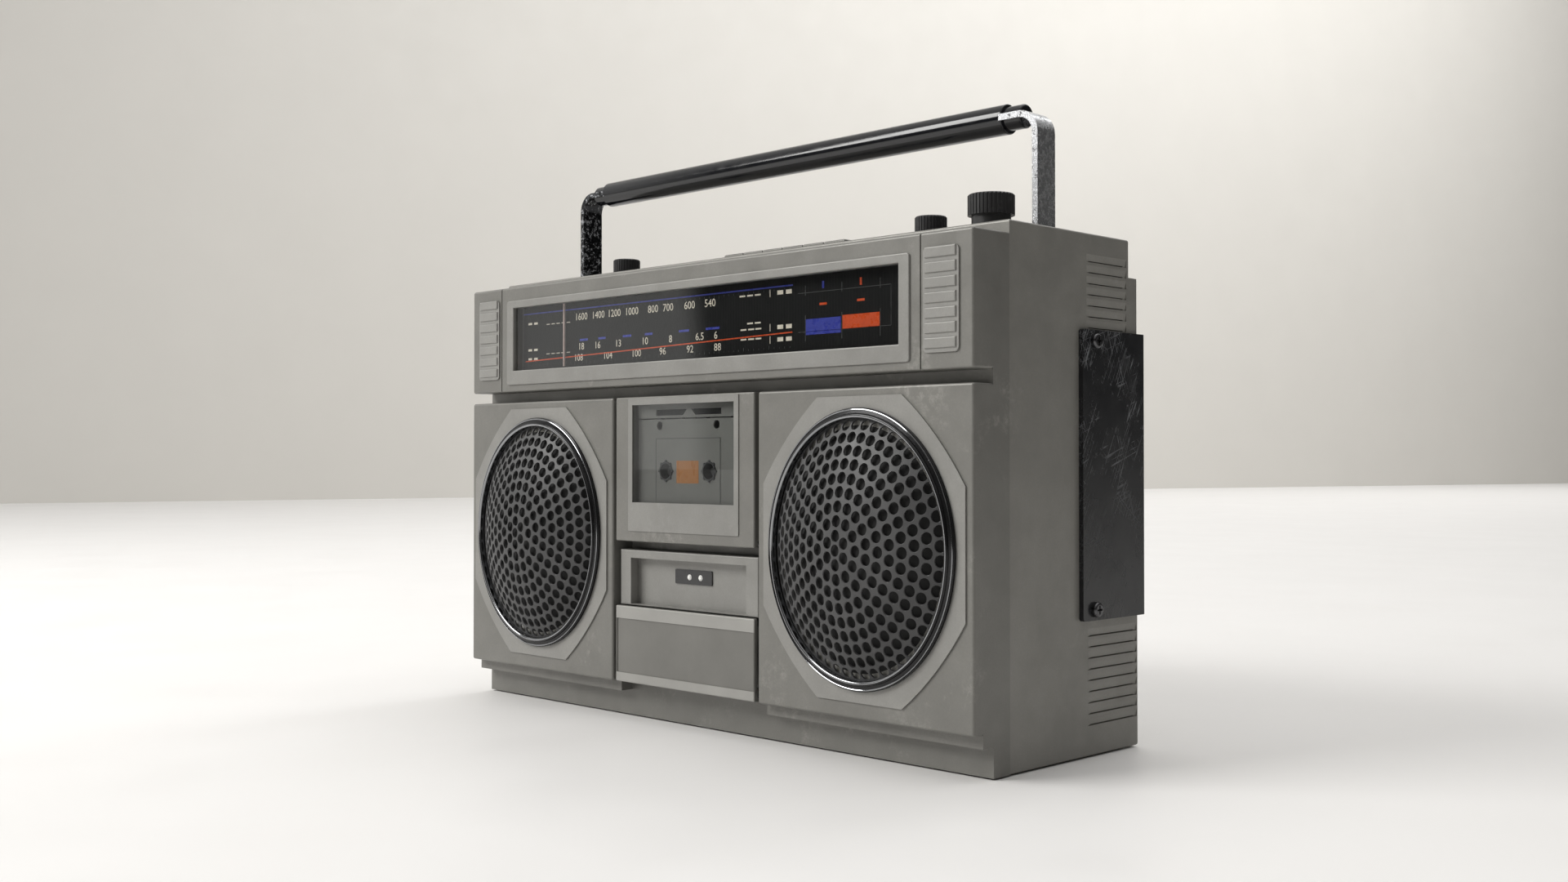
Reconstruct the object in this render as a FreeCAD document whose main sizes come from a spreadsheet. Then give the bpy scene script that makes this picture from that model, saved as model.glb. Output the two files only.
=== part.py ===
import FreeCAD, Part
import math
import os
import re

import Sketcher
from FreeCAD import Placement, Rotation, Vector

# A portable radio cassette recorder, in millimetres.
# X runs to the right, Y from the front to the back and Z up. The origin is under the middle
# of the object. Positions below are measured from the front plane of the case (y) and from
# its underside (z), and place() moves them into the frame.

SIZES = [
    # case
    ("body_w", 480.0, "width of the case"),
    ("front_h", 303.4, "height of the front shell"),
    ("rear_h", 311.0, "height of the rear case"),
    ("seam_y", 32.4, "depth of the front shell, where the rear case starts"),
    ("rear_top_y", 154.6, "depth of the case above the shoulder"),
    ("back_y", 163.8, "depth of the case below the shoulder"),
    ("shoulder_z", 287.7, "height of the shoulder in the back"),
    ("wall", 2.6, "wall of both shells"),
    ("edge_round", 1.6, "rounding of the outer edges"),
    ("head_z", 226.0, "underside of the dial head"),
    ("block_top", 218.2, "top of the speaker blocks"),
    ("block_z", 24.8, "underside of the speaker blocks"),
    ("ledge_z", 17.25, "underside of the ledge below the blocks"),
    ("ledge_y", 8.0, "set-back of the ledge"),
    ("recess_y", 17.4, "set-back of the base, the long groove and the centre column"),
    ("column_half", 71.3, "half width of the centre column"),
    ("fit_gap", 0.3, "gap round a piece that is let into another"),
    ("run_gap", 0.05, "radial clearance of a pin or shaft that turns"),
    ("foot_r", 9.0, "radius of a foot"),
    ("foot_proud", 1.0, "how far a foot stands out of the underside"),
    ("foot_sunk", 1.2, "how far a foot is let in"),
    # dial
    ("bezel_half", 195.0, "half width of the dial frame"),
    ("bezel_z", 231.0, "lower edge of the dial frame"),
    ("bezel_top", 293.2, "upper edge of the dial frame"),
    ("bezel_proud", 1.2, "how far the dial frame stands out"),
    ("bezel_wall", 2.0, "wall of the dial frame's sleeve"),
    ("bezel_depth", 4.5, "depth of the dial frame's sleeve"),
    ("dial_half", 186.7, "half width of the dial opening"),
    ("dial_z", 241.5, "lower edge of the dial opening"),
    ("dial_top", 287.7, "upper edge of the dial opening"),
    ("glass_t", 2.0, "thickness of the clear windows"),
    ("scale_y", 8.0, "depth of the scale plate's face"),
    ("scale_t", 1.5, "thickness of the scale plate"),
    ("pointer_x", -134.2, "where the pointer rests"),
    ("pointer_w", 1.4, "width of the pointer"),
    ("pointer_y", 5.4, "depth of the pointer's face"),
    ("rail_y", 11.5, "depth of the pointer's rail"),
    ("rail_z", 295.6, "height of the pointer's rail"),
    ("rail_r", 1.5, "radius of the pointer's rail"),
    ("end_x", 205.0, "inner edge of a ribbed end plate"),
    ("end_w", 25.4, "width of a ribbed end plate"),
    ("end_z", 235.6, "lower edge of a ribbed end plate"),
    ("end_h", 59.2, "height of a ribbed end plate"),
    ("end_t", 1.0, "thickness of a ribbed end plate"),
    ("rib_proud", 0.9, "how far its ribs stand out"),
    # speakers
    ("speaker_x", 156.0, "distance of a speaker from the middle"),
    ("speaker_z", 123.8, "height of the speakers"),
    ("ring_w", 145.0, "width of the bright ring"),
    ("ring_h", 165.0, "height of the bright ring"),
    ("ring_band", 5.5, "width of the ring's band"),
    ("ring_proud", 4.5, "how far the ring stands out of the trim"),
    ("trim_t", 1.0, "thickness of the eight-sided trim"),
    ("trim_w", 157.6, "width of the trim"),
    ("trim_h", 178.6, "height of the trim"),
    ("trim_upright", 75.0, "length of its upright sides"),
    ("trim_level", 66.0, "length of its level sides"),
    ("trim_bulge", 3.0, "bulge of its corner sides"),
    ("dome_rise", 20.0, "rise of the domed grille"),
    ("grille_t", 1.2, "thickness of the grille"),
    ("flange_w", 2.0, "width of the grille's flange under the ring"),
    ("cone_r", 56.5, "outer radius of the loudspeaker cone"),
    ("basket_r", 66.0, "outer radius of the loudspeaker frame"),
    ("magnet_r", 36.0, "radius of the magnet"),
    ("basket_d", 38.4, "depth of the loudspeaker frame"),
    ("magnet_d", 16.0, "depth of the magnet"),
    # cassette door and deck
    ("door_gap", 3.3, "gap beside the cassette door"),
    ("door_z", 120.8, "lower edge of the cassette door"),
    ("door_t", 4.5, "thickness of the door frame"),
    ("window_half", 50.0, "half width of the door window"),
    ("window_z", 147.2, "lower edge of the door window"),
    ("window_top", 212.7, "upper edge of the door window"),
    ("door_bezel_t", 0.6, "thickness of the door's light plate"),
    ("door_bezel_m", 4.2, "margin of the light plate beside the window"),
    ("door_bezel_z", 127.8, "lower edge of the light plate"),
    ("hinge_y", 5.0, "depth of the door's hinge"),
    ("hinge_z", 123.5, "height of the door's hinge"),
    ("hinge_r", 2.0, "radius of the hinge pins"),
    ("tape_w", 100.4, "width of a compact cassette"),
    ("tape_h", 63.8, "height of a compact cassette"),
    ("tape_t", 8.7, "thickness of a compact cassette"),
    ("tape_lip_t", 11.9, "thickness at its open edge"),
    ("tape_y", 5.1, "depth of the cassette's face"),
    ("hub_z", 168.4, "height of the cassette's hubs"),
    ("hub_edge", 29.4, "hubs above the cassette's closed edge"),
    ("hub_half", 21.25, "half of the distance between the hubs"),
    ("hub_r", 5.2, "radius of the hole in a hub"),
    ("spindle_r", 3.4, "radius of a spindle"),
    ("deck_t", 1.6, "thickness of the deck plate"),
    ("capstan_x", -28.0, "capstan beside the middle"),
    ("capstan_r", 1.25, "radius of the capstan"),
    ("roller_r", 6.0, "radius of the pinch roller"),
    ("head_travel", 4.0, "travel of the head bridge"),
    ("flywheel_r", 24.0, "radius of the flywheel"),
    ("pulley_r", 6.0, "radius of the motor pulley"),
    ("motor_x", 46.0, "motor beside the middle"),
    ("motor_r", 16.0, "radius of the motor"),
    # indicator panel and band flap
    ("panel_y", 4.0, "depth of the indicator panel's frame"),
    ("panel_z", 77.2, "lower edge of the indicator panel"),
    ("panel_top", 114.8, "upper edge of the indicator panel"),
    ("panel_recess", 7.0, "depth of its recess"),
    ("lamp_r", 1.9, "radius of an indicator lamp"),
    ("lamp_half", 5.4, "half of the distance between the lamps"),
    ("lamp_x", 1.8, "middle of the lamps"),
    ("flap_z", 25.2, "lower edge of the band flap"),
    ("flap_top", 76.9, "upper edge of the band flap"),
    ("flap_t", 2.6, "thickness of the band flap"),
    ("flap_hinge_z", 28.6, "height of the flap's hinge"),
    ("slider_z", 49.0, "height of the band slider"),
    ("slider_travel", 12.0, "travel of the band slider to each side"),
    # handle
    ("handle_half", 220.1, "half width of the handle"),
    ("strip_t", 4.0, "thickness of the handle's steel strip"),
    ("strip_w", 18.0, "width of the strip"),
    ("strip_neck", 12.0, "width of the strip inside the grip"),
    ("bend_r", 14.0, "outer radius of its bends"),
    ("handle_y", 96.0, "depth of the handle's middle"),
    ("handle_z", 383.8, "height of the grip"),
    ("pivot_z", 299.5, "height of the handle's pivots"),
    ("pivot_r", 2.5, "radius of the handle's pivot pins"),
    ("slot_gap", 1.0, "gap between an arm and its slot"),
    ("grip_r", 9.3, "radius of the grip"),
    ("grip_end_r", 7.4, "radius of the grip's ends"),
    ("grip_half", 193.0, "half length of the grip's thick part"),
    # knobs and keys
    ("knob_y", 52.0, "depth of the knobs"),
    ("small_knob_r", 9.75, "radius of the small knobs"),
    ("small_knob_h", 11.0, "height of the small knobs"),
    ("big_knob_r", 13.75, "radius of the tuning knob"),
    ("big_knob_h", 12.3, "height of the tuning knob's rim"),
    ("big_skirt_r", 11.5, "radius below its rim"),
    ("big_skirt_h", 6.0, "height below its rim"),
    ("knob_gap", 0.6, "gap below a knob"),
    ("stem_r", 3.0, "radius of a knob's stem"),
    ("volume_x", 167.2, "place of the volume knob"),
    ("tone_x", -120.0, "place of the tone knob"),
    ("tuning_x", 212.5, "place of the tuning knob"),
    ("bobbin_r", 9.0, "radius of the bobbin that drives the dial cord"),
    ("drum_r", 30.0, "radius of the tuning drum"),
    ("drum_x", 150.0, "place of the tuning drum"),
    ("drum_z", 262.0, "height of the tuning drum"),
    ("key_x", -15.0, "left edge of the first key"),
    ("key_pitch", 18.7, "distance from key to key"),
    ("key_gap", 0.8, "gap between two keys"),
    ("key_y", 52.0, "front of the keys"),
    ("key_d", 22.0, "depth of a key's cap"),
    ("key_proud", 5.0, "how far a key stands out of the top"),
    ("key_pivot_y", 84.0, "depth of the keys' rod"),
    ("key_pivot_z", 303.0, "height of the keys' rod"),
    ("key_rod_r", 1.5, "radius of the keys' rod"),
    # sides and back
    ("guard_t", 3.0, "thickness of the side guards"),
    ("guard_y", 100.1, "front edge of a side guard"),
    ("guard_z", 80.5, "lower edge of a side guard"),
    ("guard_top", 253.2, "upper edge of a side guard"),
    ("guard_wrap", 15.0, "width of the guard's return on the back"),
    ("screw_r", 1.9, "radius of a screw's shank"),
    ("screw_head_r", 4.5, "radius of a screw's head"),
    ("screw_head_t", 3.0, "height of a screw's head"),
    ("louvre_pitch", 6.6, "distance from louvre to louvre"),
    ("louvre_d", 0.8, "depth of a louvre"),
    ("cell_r", 16.6, "radius of a D cell"),
    ("cell_l", 61.2, "length of a D cell"),
    ("cell_pitch", 36.0, "distance between the rows of cells"),
    ("bay_half", 102.0, "half width of the battery bay"),
    ("bay_z", 26.0, "lower edge of the battery bay"),
    ("bay_h", 72.0, "height of the battery bay"),
    ("lid_pin_r", 1.5, "radius of the battery lid's pivots"),
    ("mast_x", 190.0, "place of the aerial's pivot"),
    ("mast_z", 293.0, "height of the stowed aerial"),
    ("mast_r", 2.6, "radius of the aerial's outer tube"),
    ("mast_l", 165.0, "length of the aerial's outer tube"),
    ("tip_r", 1.8, "radius of the aerial's inner rod"),
    ("inlet_x", -160.0, "place of the mains inlet and the jacks"),
    ("inlet_z", 46.0, "height of the mains inlet"),
]

LAYOUT = [
    ("front_y", "-(back_y + guard_t - trim_t - dome_rise) / 2", "front plane of the case"),
    ("half_w", "body_w / 2", "outside of the case"),
    ("inner_w", "body_w / 2 - wall", "inside of the case"),
    ("door_half", "column_half - door_gap", "half width of the door and the flap"),
    ("deck_y", "recess_y + wall", "front of the deck plate"),
    ("tape_z", "hub_z - hub_edge", "closed edge of the cassette"),
    ("tape_top", "tape_z + tape_h", "open edge of the cassette"),
    ("capstan_z", "tape_top - 4.2", "height of the capstan"),
    ("roller_z", "capstan_z + capstan_r + roller_r + run_gap + head_travel", "resting roller"),
    ("key_top", "rear_h + key_proud", "top of the keys"),
    ("keys_end", "key_x + 6 * key_pitch", "right edge of the last key"),
    ("slot_in", "handle_half - strip_t - slot_gap", "inner side of a handle slot"),
    ("slot_out", "handle_half + slot_gap", "outer side of a handle slot"),
    ("slot_y", "handle_y - strip_w / 2 - slot_gap", "front of a handle slot"),
    ("slot_z", "pivot_z - strip_w / 2 - slot_gap", "floor of a handle slot"),
    ("bay_y", "back_y - wall - 2 * cell_r - 2", "bottom of the battery bay"),
    ("mast_y", "(rear_top_y + back_y) / 2", "depth of the stowed aerial"),
]

TURNS = {
    "x": Rotation(Vector(0, 1, 0), 90),
    "y": Rotation(Vector(1, 0, 0), -90),
    "z": Rotation(),
}
KEYS = ("record", "play", "rewind", "forward", "stop", "pause")
KNURLS = 30
BEHIND = "400"
NOSE = "-60"

doc = FreeCAD.newDocument("boombox")


# --- sizes and expressions -------------------------------------------------------------------

def make_sheet():
    """Write the driving sizes into the sheet and the worked-out places into the layout."""
    sheet = doc.addObject("Spreadsheet::Sheet", "Sizes")
    for row, (alias, value, note) in enumerate(SIZES, 1):
        sheet.set(f"A{row}", alias)
        sheet.set(f"B{row}", str(value))
        sheet.set(f"C{row}", note)
        sheet.setAlias(f"B{row}", alias)
    doc.recompute()
    layout = doc.addObject("App::VarSet", "Layout")
    for name, formula, note in LAYOUT:
        layout.addProperty("App::PropertyFloat", name, "Layout", note)
        layout.setExpression(name, bound(formula))
    scratch = doc.addObject("App::VarSet", "Scratch")
    scratch.addProperty("App::PropertyFloat", "value", "Scratch", "last number that was read")
    doc.recompute()
    return scratch


OWNER = {name: "Sizes" for name, _value, _note in SIZES}
OWNER.update({name: "Layout" for name, _formula, _note in LAYOUT})


def bound(expression):
    """Write each named size in an expression with the object that holds it."""
    def full(match):
        word = match.group(0)
        return f"{OWNER[word]}.{word}" if word in OWNER else word
    return re.sub(r"[a-z][a-z_0-9]*", full, str(expression))


def number(expression):
    """Read an expression of the sizes as a plain number."""
    scratch.setExpression("value", bound(expression))
    scratch.recompute()
    return scratch.value


def place(item, x, y, z, turn=Rotation()):
    """Put an object where x, y (from the front plane) and z (from the underside) say."""
    item.Placement = Placement(Vector(), turn)
    item.setExpression("Placement.Base.x", bound(x))
    item.setExpression("Placement.Base.y", bound(f"front_y + ({y})"))
    item.setExpression("Placement.Base.z", bound(f"foot_proud + ({z})"))
    return item


def level(axis, value):
    """Number of a place along one axis of the frame."""
    start = {"x": "0", "y": "front_y", "z": "foot_proud"}[axis]
    return number(f"{start} + ({value})")


# --- solids ----------------------------------------------------------------------------------

def block(x, y, z, name="block"):
    """Box between two values along each axis."""
    box = doc.addObject("Part::Box", name)
    for side, (low, high) in (("Length", x), ("Width", y), ("Height", z)):
        box.setExpression(side, bound(f"({high}) - ({low})"))
    return place(box, x[0], y[0], z[0])


def rod(axis, centre, span, radius, name="rod"):
    """Cylinder along one axis; centre holds the two other coordinates in X, Y, Z order."""
    cylinder = doc.addObject("Part::Cylinder", name)
    cylinder.setExpression("Radius", bound(radius))
    cylinder.setExpression("Height", bound(f"({span[1]}) - ({span[0]})"))
    spot = list(centre)
    spot.insert("xyz".index(axis), span[0])
    return place(cylinder, *spot, TURNS[axis])


def oval(x, z, width, height, y, name="oval"):
    """Upright slab with an elliptical outline between two depths."""
    tall = number(height) >= number(width)
    longer, shorter = (height, width) if tall else (width, height)
    ellipse = doc.addObject("Part::Ellipse", name + "_outline")
    ellipse.setExpression("MajorRadius", bound(f"({longer}) / 2"))
    ellipse.setExpression("MinorRadius", bound(f"({shorter}) / 2"))
    turn = Rotation(Vector(1, 1, 1), -120) if tall else Rotation(Vector(1, 0, 0), -90)
    place(ellipse, x, y[0], z, turn)
    slab = doc.addObject("Part::Extrusion", name)
    slab.Base = ellipse
    slab.DirMode = "Custom"
    slab.Dir = Vector(0, 1, 0)
    slab.setExpression("LengthFwd", bound(f"({y[1]}) - ({y[0]})"))
    slab.Solid = True
    return slab


def group(items, name):
    """Separate solids that share one node."""
    compound = doc.addObject("Part::Compound", name)
    compound.Links = items
    return compound


def fuse(items, name="fuse"):
    """Join touching or overlapping solids into one."""
    union = doc.addObject("Part::MultiFuse", name)
    union.Shapes = items
    union.Refine = True
    return union


def cut(base, tools, name="cut"):
    """Take tools away from base."""
    tool = tools[0] if len(tools) == 1 else group(tools, name + "_tools")
    rest = doc.addObject("Part::Cut", name)
    rest.Base = base
    rest.Tool = tool
    return rest


def common(base, tool, name="common"):
    """Keep what base and tool share."""
    shared = doc.addObject("Part::Common", name)
    shared.Base = base
    shared.Tool = tool
    return shared


def mirrored(item, name="mirrored"):
    """The same piece on the other side of the middle plane."""
    copy = doc.addObject("Part::Mirroring", name)
    copy.Source = item
    copy.Normal = Vector(1, 0, 0)
    return copy


def pair(item, name):
    """A piece and its mirror image in one node."""
    return group([item, mirrored(item, name + "_left")], name)


def rounded(base, radius, chosen, name="rounded"):
    """Round the edges of a solid that pass a test."""
    doc.recompute()
    size = number(radius)
    fillet = doc.addObject("Part::Fillet", name)
    fillet.Base = base
    edges = enumerate(base.Shape.Edges, 1)
    fillet.Edges = [(index, size, size) for index, edge in edges if chosen(edge)]
    return fillet


def in_plane(axis, value):
    """Test for edges that lie in the plane axis = value."""
    height = level(axis, value)
    low, high = axis.upper() + "Min", axis.upper() + "Max"

    def test(edge):
        box = edge.BoundBox
        return abs(getattr(box, low) - height) < 0.01 and abs(getattr(box, high) - height) < 0.01
    return test


def along(axis):
    """Test for straight edges that run along an axis."""
    unit = {"x": Vector(1, 0, 0), "y": Vector(0, 1, 0), "z": Vector(0, 0, 1)}[axis]

    def test(edge):
        if not isinstance(edge.Curve, Part.Line):
            return False
        return abs(abs(edge.tangentAt(edge.FirstParameter).dot(unit)) - 1) < 1e-6
    return test


# --- bodies with sketches --------------------------------------------------------------------

def body(name, x, y, z, turn=Rotation()):
    """Empty body in its place."""
    return place(doc.addObject("PartDesign::Body", name), x, y, z, turn)


def sketch_on(owner, role, offset="0"):
    """Sketch on one of the body's own origin planes."""
    sketch = owner.newObject("Sketcher::SketchObject", "outline")
    plane = [item for item in owner.Origin.OriginFeatures if item.Role == role][0]
    sketch.AttachmentSupport = (plane, "")
    sketch.MapMode = "FlatFace"
    sketch.setExpression("AttachmentOffset.Base.z", bound(offset))
    return sketch


def bind(sketch, kind, places, value):
    """Add a sketch constraint whose value follows the sizes."""
    index = sketch.addConstraint(Sketcher.Constraint(kind, *places, number(value)))
    sketch.setExpression(f"Constraints[{index}]", bound(value))


def outline(sketch, corners, arcs=()):
    """Draw a closed outline counter-clockwise. arcs maps a corner's index to the radius of the
    arc that leaves it; the radius is negative where the arc runs clockwise."""
    arcs = dict(arcs)
    spots = [Vector(number(x), number(y), 0) for x, y in corners]
    ends = []
    for index, start in enumerate(spots):
        stop = spots[(index + 1) % len(spots)]
        if index not in arcs:
            sketch.addGeometry(Part.LineSegment(start, stop))
            ends.append((1, 2))
            continue
        radius = number(arcs[index])
        chord = stop - start
        rise = abs(radius) - math.sqrt(max(radius ** 2 - (chord.Length / 2) ** 2, 0))
        outward = Vector(chord.y, -chord.x, 0).normalize()
        middle = (start + stop) * 0.5 + outward * math.copysign(rise, radius)
        first, last = (start, stop) if radius > 0 else (stop, start)
        sketch.addGeometry(Part.ArcOfCircle(first, middle, last))
        ends.append((1, 2) if radius > 0 else (2, 1))
    count = len(corners)
    for index in range(count):
        after = (index + 1) % count
        sketch.addConstraint(
            Sketcher.Constraint("Coincident", index, ends[index][1], after, ends[after][0]))
    for index, (x, y) in enumerate(corners):
        bind(sketch, "DistanceX", (-1, 1, index, ends[index][0]), x)
        bind(sketch, "DistanceY", (-1, 1, index, ends[index][0]), y)
    for index, radius in arcs.items():
        bind(sketch, "Radius", (index,), f"abs({radius})")


def feature(owner, kind, sketch, name):
    """Add a feature that is made from a sketch and make it the body's result."""
    item = owner.newObject("PartDesign::" + kind, name)
    item.Profile = sketch
    owner.Tip = item
    return item


def turned(name, profile, x, y, z, turn=Rotation(), arcs=()):
    """Body of revolution; the profile holds radius and height along the body's own Z."""
    owner = body(name, x, y, z, turn)
    sketch = sketch_on(owner, "XZ_Plane")
    outline(sketch, profile, arcs)
    spin = feature(owner, "Revolution", sketch, "spin")
    spin.ReferenceAxis = (sketch, ["V_Axis"])
    spin.Angle = 360
    return owner


def prism(name, corners, y, arcs=()):
    """Body with an outline seen from the front, between two depths."""
    owner = body(name, "0", y[0], "0")
    sketch = sketch_on(owner, "XZ_Plane")
    outline(sketch, corners, arcs)
    pad = feature(owner, "Pad", sketch, "pad")
    pad.setExpression("Length", bound(f"({y[1]}) - ({y[0]})"))
    pad.Reversed = True
    return owner


def grooves(owner, radius, depth, heights, count):
    """Cut upright grooves round a turned body."""
    sketch = sketch_on(owner, "XY_Plane", heights[0])
    sketch.addGeometry(Part.Circle(Vector(number(radius), 0, 0), Vector(0, 0, 1), number(depth)))
    bind(sketch, "DistanceX", (-1, 1, 0, 3), radius)
    sketch.addConstraint(Sketcher.Constraint("PointOnObject", 0, 3, -1))
    bind(sketch, "Radius", (0,), depth)
    pocket = feature(owner, "Pocket", sketch, "groove")
    pocket.setExpression("Length", bound(f"({heights[1]}) - ({heights[0]})"))
    pocket.Reversed = True
    pattern = owner.newObject("PartDesign::PolarPattern", "grooves")
    pattern.Originals = [pocket]
    pattern.Axis = (sketch, ["N_Axis"])
    pattern.Angle = 360
    pattern.Occurrences = count
    owner.Tip = pattern
    return owner


def both_sides(low, high):
    """The span on the right and its mirror image."""
    return (low, high), (f"-({high})", f"-({low})")


# --- case ------------------------------------------------------------------------------------

def rounded_front(x, y, z):
    """Box whose front edges and whose long corners are rounded."""
    solid = block(x, y, z)
    front = in_plane("y", y[0])
    corner = along("y")
    return rounded(solid, "edge_round", lambda edge: front(edge) or corner(edge))


def front_shell():
    """Head, two speaker blocks and base, as one moulding that is open at the back."""
    full = ("-half_w", "half_w")
    right, left = both_sides("column_half", "half_w")
    head = rounded_front(full, ("0", "seam_y"), ("head_z", "front_h"))
    blocks = [rounded_front(side, ("0", "recess_y + wall"), ("block_z", "block_top"))
              for side in (right, left)]
    ledges = [block(side, ("ledge_y", "recess_y + wall"), ("ledge_z", "block_z + wall"))
              for side in (right, left)]
    core = block(full, ("recess_y", "seam_y"), ("0", "head_z + wall + edge_round"))
    outside = fuse([head, core] + blocks + ledges)
    hollow = [
        block(("-inner_w", "inner_w"), ("wall", BEHIND), ("head_z + wall", "front_h - wall")),
        block(("-inner_w", "inner_w"), ("recess_y + wall", BEHIND), ("wall", "head_z + 2 * wall")),
    ]
    for low, high in both_sides("column_half + wall", "inner_w"):
        hollow.append(block((low, high), ("wall", "seam_y"), ("block_z + wall", "block_top - wall")))
        hollow.append(block((low, high), ("ledge_y + wall", "seam_y"),
                            ("ledge_z + wall", "block_z + 2 * wall")))
    return cut(fuse([cut(outside, hollow)] + shell_lugs()), shell_openings(), "front_shell")


def shell_lugs():
    """Lugs for the pointer's rail and bosses for the long case screws."""
    lugs = []
    for low, high in both_sides("bezel_half + 3", "bezel_half + 6"):
        lugs.append(block((low, high), ("wall - 0.5", "rail_y + 3"), ("rail_z - 4", "front_h - wall / 2")))
    for x, z in screw_places():
        lugs.append(rod("y", (x, z), ("recess_y + wall / 2", "seam_y"), "screw_head_r + 2"))
    return lugs


def screw_places():
    """Long case screws: four in the corners and two over the speakers' inner edges."""
    return [
        ("inner_w - 5", "275"), ("-inner_w + 5", "275"),
        ("inner_w - 5", "14"), ("-inner_w + 5", "14"),
        ("column_half + 12.7", "head_z + 6"), ("-column_half - 12.7", "head_z + 6"),
    ]


def shell_openings():
    """Every hole and groove in the front shell."""
    sleeve = "dial_half + bezel_wall + fit_gap"
    tools = [
        block((f"-({sleeve})", sleeve), (NOSE, "wall + 1"),
              ("dial_z - bezel_wall - fit_gap", "dial_top + bezel_wall + fit_gap")),
        block(("-column_half + 7.3", "column_half - 7.3"), ("recess_y - 1", "deck_y + 1"),
              ("door_z + 1.2", "block_top - 4.2")),
        block(("-slider_travel - 3", "slider_travel + 3"), ("recess_y - 1", "deck_y + 1"),
              ("slider_z - 1.6", "slider_z + 1.6")),
        rod("x", ("rail_y", "rail_z"), ("-half_w + 20", "half_w - 20"), "rail_r"),
    ]
    for side in ("1", "-1"):
        tools.append(rod("y", (f"{side} * speaker_x", "speaker_z"), (NOSE, "wall + 1"), "cone_r + 1.5"))
        tools.append(block((f"{side} * (end_x - 2.5) - 0.5", f"{side} * (end_x - 2.5) + 0.5"),
                           (NOSE, "0.8"), ("head_z - 1", "front_h + 1")))
    for low, high in both_sides("column_half - 9", "column_half + wall + 1"):
        tools.append(rod("x", ("hinge_y", "hinge_z"), (low, high), "hinge_r"))
        tools.append(rod("x", ("hinge_y", "flap_hinge_z"), (low, high), "hinge_r"))
    for x, z in screw_places():
        tools.append(rod("y", (x, z), ("recess_y + wall + 1.5", "seam_y + 1"), "screw_r"))
    return tools


def end_plates():
    """Bright plates at both ends of the head, with level ribs."""
    x = ("end_x", "end_x + end_w")
    plate = rounded(block(x, ("-end_t", "0"), ("end_z", "end_z + end_h")), "3", along("y"))
    ribs = []
    for index in range(7):
        low = f"end_z + 2.2 + {index} * end_h / 7"
        rib = block(("end_x + 1.6", "end_x + end_w - 1.6"), ("-end_t - rib_proud", "-end_t / 2"),
                    (low, f"{low} + end_h / 7 - 2.4"))
        ribs.append(rounded(rib, "rib_proud * 0.8", in_plane("y", "-end_t - rib_proud")))
    return pair(fuse([plate] + ribs), "end_plates")


def rear_case():
    """Rear moulding with shoulder, handle slots, battery bay, bosses and louvres."""
    full = ("-half_w", "half_w")
    upper = rounded(block(full, ("seam_y", "rear_top_y"), ("0", "rear_h")), "edge_round",
                    lambda edge: along("y")(edge) or in_plane("y", "rear_top_y")(edge)
                    or (in_plane("y", "seam_y")(edge) and in_plane("z", "rear_h")(edge)))
    lower = rounded(block(full, ("seam_y + 40", "back_y"), ("0", "shoulder_z")), "edge_round",
                    lambda edge: in_plane("y", "back_y")(edge)
                    or (along("y")(edge) and in_plane("z", "0")(edge)))
    inner = ("-inner_w", "inner_w")
    hollow = [
        block(inner, ("seam_y - 1", "seam_y + 2 * wall"), ("wall", "front_h - wall")),
        block(inner, ("seam_y + wall", "rear_top_y - wall"), ("wall", "rear_h - wall")),
        block(inner, ("seam_y + wall", "back_y - wall"), ("wall", "shoulder_z - wall")),
    ]
    case = cut(fuse([upper, lower]), hollow)
    return cut(fuse([case] + case_ribs()), case_openings(), "rear_case")


def case_ribs():
    """Solid material that is added inside the rear case and on its shoulder."""
    ribs = []
    for low, high in both_sides("slot_in - wall", "slot_out + wall"):
        ribs.append(block((low, high), ("slot_y - wall", "rear_top_y - wall / 2"),
                          ("slot_z - wall", "rear_h - wall / 2")))
    for x, z in screw_places():
        ribs.append(rod("y", (x, z), ("seam_y", "back_y - wall / 2"), "screw_head_r + 2.5"))
    ribs.append(block(("-bay_half - wall", "bay_half + wall"), ("bay_y - wall", "back_y - wall / 2"),
                      ("bay_z - wall", "bay_z + bay_h + wall")))
    for low, high in (("key_x - 6", "key_x - 3"), ("keys_end + 3", "keys_end + 6")):
        ribs.append(block((low, high), ("key_pivot_y - 5", "key_pivot_y + 5"),
                          ("key_pivot_z - 5", "rear_h - wall / 2")))
    ribs.append(block(("mast_x - 5", "mast_x + 5"), ("back_y - 2", "back_y"),
                      ("shoulder_z - wall", "mast_z + 4.6")))
    ribs.append(block(("mast_x - 5", "mast_x + 5"), ("rear_top_y - wall / 2", "rear_top_y + 2.4"),
                      ("shoulder_z - wall", "mast_z + 4.6")))
    for x in ("-60", "60"):
        for z in ("150", "270"):
            ribs.append(rod("y", (x, z), ("113.6", "back_y - wall / 2"), "3"))
    for side in ("1", "-1"):
        for z in guard_screw_heights():
            low, high = ("half_w - 10", "half_w - wall / 2") if side == "1" else (
                "-half_w + wall / 2", "-half_w + 10")
            ribs.append(rod("x", ("guard_y + 12.6", z), (low, high), "screw_head_r"))
    return ribs


def guard_screw_heights():
    """Heights of the two screws that hold a side guard."""
    return ("guard_top - 6.8", "guard_z + 6.4")


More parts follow.
